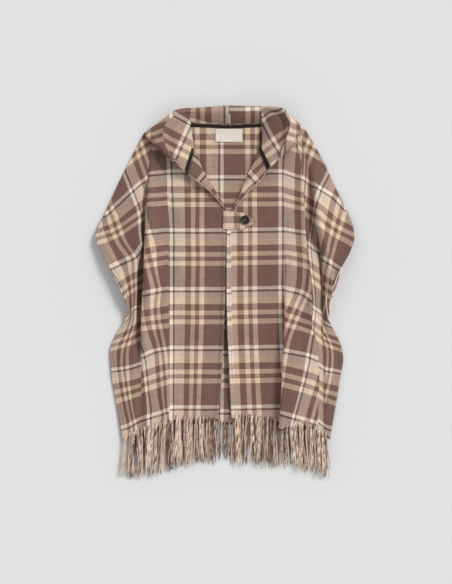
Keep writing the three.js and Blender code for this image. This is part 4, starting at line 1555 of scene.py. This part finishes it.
def tube(line, half_wide, half_high, sides, start=0.0, turn=0.0, lobes=0.0):
    """A closed tube round a line of points; lobes above 0 pinch it into two touching rounds."""
    steps = len(line) - 1
    angle = 2 * np.pi * np.arange(sides)[None] / sides
    twist = start + turn * np.linspace(0, 1, steps + 1)[:, None]
    reach = 1 - lobes + lobes * np.abs(np.cos(angle)) ** 0.8
    across = reach * np.cos(angle + twist) * half_wide[:, None]
    up = reach * np.sin(angle + twist) * half_high[:, None]
    ring = [line[:, :1] + across, np.repeat(line[:, 1:2], sides, axis=1), line[:, 2:] + up]
    points = np.stack(ring, axis=2).reshape(-1, 3)
    faces = []
    for i in range(steps):
        for k in range(sides):
            a, b = i * sides + k, i * sides + (k + 1) % sides
            faces.append((a, b, b + sides, a + sides))
    last = steps * sides
    faces.append(tuple(range(sides))[::-1])
    faces.append(tuple(range(last, last + sides)))
    return points, faces


def cord_line(root, tip, steps, sway, bend):
    t = np.linspace(0, 1, steps + 1)
    x = root[0] + (tip[0] - root[0]) * t + sway * np.sin(np.pi * (0.3 + 1.7 * t)) * t + bend * t**3
    y = root[1] + (tip[1] - root[1]) * t
    z = root[2] + (tip[2] - root[2]) * np.minimum(1, t * SETTLED)
    return np.stack([x, y, z], axis=1)


def cord_colours(first, second, tip_shade):
    """One colour for each face: the two plies, darker at the tip where the cord is bound."""
    side = np.arange(CORD_SIDES)
    ply = np.cos(2 * np.pi * (side + 0.5) / CORD_SIDES) > 0
    ring = np.where(ply[:, None], first, second)
    t = (np.arange(CORD_RINGS) + 0.5) / CORD_RINGS
    bound = np.interp(t, [0, 0.9, 0.94, 1], [1, 1, tip_shade, tip_shade])
    faces = (ring[None] * bound[:, None, None]).reshape(-1, 3)
    return np.vstack([faces, first[None], second[None] * tip_shade])


print("faces of one cord:", CORD_RINGS * CORD_SIDES + 2)


# %% [markdown]
# Each fringe is one mesh of many closed tubes, so its colours are kept face by face as it grows. The
# roots sit in a narrow strip under the hem, coloured from the stripe above and darkened as painted shade.

# %% Bundle and root strip
STRIP_DEPTH = 5
STRIP_HALF = 0.8
# Painted shade: the strip's stripe colour darkened where it lies under the hem
STRIP_PAINTED_SHADE = 0.7


class Bundle:
    """Tubes and a strip that become one mesh, with a colour for each face."""

    def __init__(self):
        self.points, self.faces, self.colours, self.count = [], [], [], 0

    def add(self, points, faces, colours):
        self.points.append(points)
        self.faces += [tuple(v + self.count for v in face) for face in faces]
        self.colours += list(np.broadcast_to(colours, (len(faces), 3)))
        self.count += len(points)

    def mesh(self, name):
        made = add_mesh(name, np.concatenate(self.points), self.faces, finish=YARN_FINISH)
        layer = made.data.color_attributes.new("yarn", "FLOAT_COLOR", "CORNER")
        sizes = [len(face) for face in self.faces]
        rows = np.column_stack([np.clip(self.colours, 0, 1), np.ones(len(sizes))])
        layer.data.foreach_set("color", np.repeat(rows, sizes, axis=0).astype(np.float32).ravel())
        print(name, sum(size - 2 for size in sizes), "triangles")
        return made


def root_strip(bundle, hem, hem_u):
    """The narrow strip under the hem that holds the roots."""
    n = len(hem)
    line = np.stack([hem + [0, -SEAM_GAP, 0], hem + [0, -SEAM_GAP - STRIP_DEPTH, 0]])
    faces_of_strip = (line + [0, 0, STRIP_HALF], line - [0, 0, STRIP_HALF])
    points = np.concatenate([face.reshape(-1, 3) for face in faces_of_strip])
    faces, colours = [], []
    for j in range(n - 1):
        faces += [(j, j + n, j + n + 1, j + 1), (j + 2 * n, j + 2 * n + 1, j + 3 * n + 1, j + 3 * n)]
        faces += [(j, j + 1, j + 2 * n + 1, j + 2 * n), (j + n, j + 3 * n, j + 3 * n + 1, j + n + 1)]
        # The stripe's colour darkened as painted shade under the hem
        colours += [STRIP_PAINTED_SHADE * stripe_colour(hem_u[j].mean())] * 4
    faces += [(0, 2 * n, 3 * n, n), (n - 1, 2 * n - 1, 4 * n - 1, 3 * n - 1)]
    bundle.add(points, faces, np.array(colours + colours[:1] + colours[-1:]))


# %% [markdown]
# Where a fold lies over the hem, the hem's line passes a place twice or steps up. The root goes to
# the upper layer, and none is set right under a pleat's edge.

# %% Roots along the hem
FOLD_STEP = 4.6  # where the hem steps up this much within a cord's width, a fold lies over the root


def highest_hem(hem, hem_u, x):
    """The highest place of the hem's line above x, with its place in the check."""
    best = None
    for k in range(len(hem) - 1):
        a, b = hem[k], hem[k + 1]
        if (a[0] - x) * (b[0] - x) > 0 or a[0] == b[0]:
            continue
        share = (x - a[0]) / (b[0] - a[0])
        point = a + (b - a) * share
        if best is None or point[2] > best[0][2]:
            best = (point, hem_u[k, 0] + (hem_u[k, 1] - hem_u[k, 0]) * share)
    return best


def root_place(hem, hem_u, x, clear):
    """The same, or None under a pleat."""
    here, beside = highest_hem(hem, hem_u, x), highest_hem(hem, hem_u, x + clear)
    if here is None or (beside is not None and beside[0][2] - here[0][2] > FOLD_STEP):
        return None
    return here


# %% [markdown]
# A seeded draw varies every cord: where it starts and how far it leans, its girth, twist, sway and
# length, and how its two plies are coloured. Loose single yarns run beside each. The tips follow a
# curve through a few places.

# %% The three fringes
TIPS = through([
    (-240, -426), (-190, -428), (-134, -416), (-80, -398), (5, -398), (144, -404), (216, -425),
    (242, -430),
])
FLOOR_CLEARANCE = 0.5
CORD_DEEPEST = 2.3  # half the height of the thickest cord
GIRTH = ([0, 0.06, 0.5, 0.8, 0.95, 1], [1.1, 0.9, 0.94, 0.56, 0.36, 0.18])  # along the cord
LOOSE_YARNS = 5
LOOSE_RINGS = 9


def add_loose_yarn(bundle, rng, number, root, tip, wide, here):
    aside, rise, spread, end, sway, bend, lift, thin = rng.random(8)
    side = 1 if number % 2 else -1
    top = root + [side * wide * 0.3 * aside, 2 - 40 * rise * (number > 1), 0.6]
    foot = tip + [side * wide * (0.2 + 0.6 * spread), 26 * (end - 0.25), 0]
    path = cord_line(top, foot, LOOSE_RINGS, 5 * (sway - 0.5), 8 * (bend - 0.5))
    path[:, 2] += 1.2 * lift
    half = np.full(LOOSE_RINGS + 1, 0.55 + 0.4 * thin)
    shade = not_too_pale((here if thin < 0.5 else YARN_MIX) * (0.7 + 0.8 * aside))
    bundle.add(*tube(path, half, np.minimum(half, path[:, 2] - 0.3), 5), shade)


def fringe(node, hem, hem_u, count, rest, start, end, fan, wide, seed):
    rng = np.random.default_rng(seed)
    bundle = Bundle()
    root_strip(bundle, hem, hem_u)
    for i in range(count):
        lean, pale, pairing, extra, turns, girth, sway, bend, bound, shift, sink, short = rng.random(12)
        x = start + (end - start) * (i + 0.5) / count + 3 * (shift - 0.5)
        found = root_place(hem, hem_u, x, wide)
        if found is None:
            continue
        root = found[0] + [0, 1 + 5 * sink, 1.6]
        uneven = abs(5 * math.sin(i * 2.4) + 4 * math.sin(i * 5.1 + 1)) + 26 * short**2 - 3
        uneven += 10 * extra if node == "fringe_back" else 0
        aside = fan * math.sin(math.pi * (i + 0.5) / count) + 15 * (lean - 0.5)
        tip = np.array([x + aside, float(TIPS(x)[0]) + uneven, rest])
        here, beside = stripe_colour(found[1]), stripe_colour(found[1] + 5 * (pale - 0.5))
        first, second = plies(here, beside, pale, pairing, extra)
        line = cord_line(root, tip, CORD_RINGS, 10 * (sway - 0.5), 13 * (bend - 0.5))
        half = wide / 2 * (0.68 + 0.4 * girth) * np.interp(np.linspace(0, 1, CORD_RINGS + 1), *GIRTH)
        deep = np.minimum(np.minimum(half, CORD_DEEPEST), line[:, 2] - FLOOR_CLEARANCE)
        shape = tube(line, half, deep, CORD_SIDES, 6 * bend, 2 * np.pi * (3.2 + 2.4 * turns), 0.5)
        bundle.add(*shape, cord_colours(first, second, 0.45 if bound < 0.5 else 0.85))
        for number in range(LOOSE_YARNS):
            add_loose_yarn(bundle, rng, number, root, tip, wide, here)
    finish_piece(bundle.mesh(f"{node}_cords"), node)


# Grid and chart of the cloth above, cords, height at rest, first and last x, fan, width and seed
FRINGES = {
    "fringe_right": (right_grid, right_uv, 24, 8.3, -231, -19, -3, 8.4, 3),
    "fringe_left": (left_grid, left_uv, 24, 8.3, 20, 236, 3, 8.4, 5),
    "fringe_back": (back_points, back_uv, 44, 2.7, -222, 229, 0, 8.0, 7),
}
for node, (grid, uv, *settings) in FRINGES.items():
    fringe(node, grid[-1], uv[-1, :, 1:3, 0], *settings)
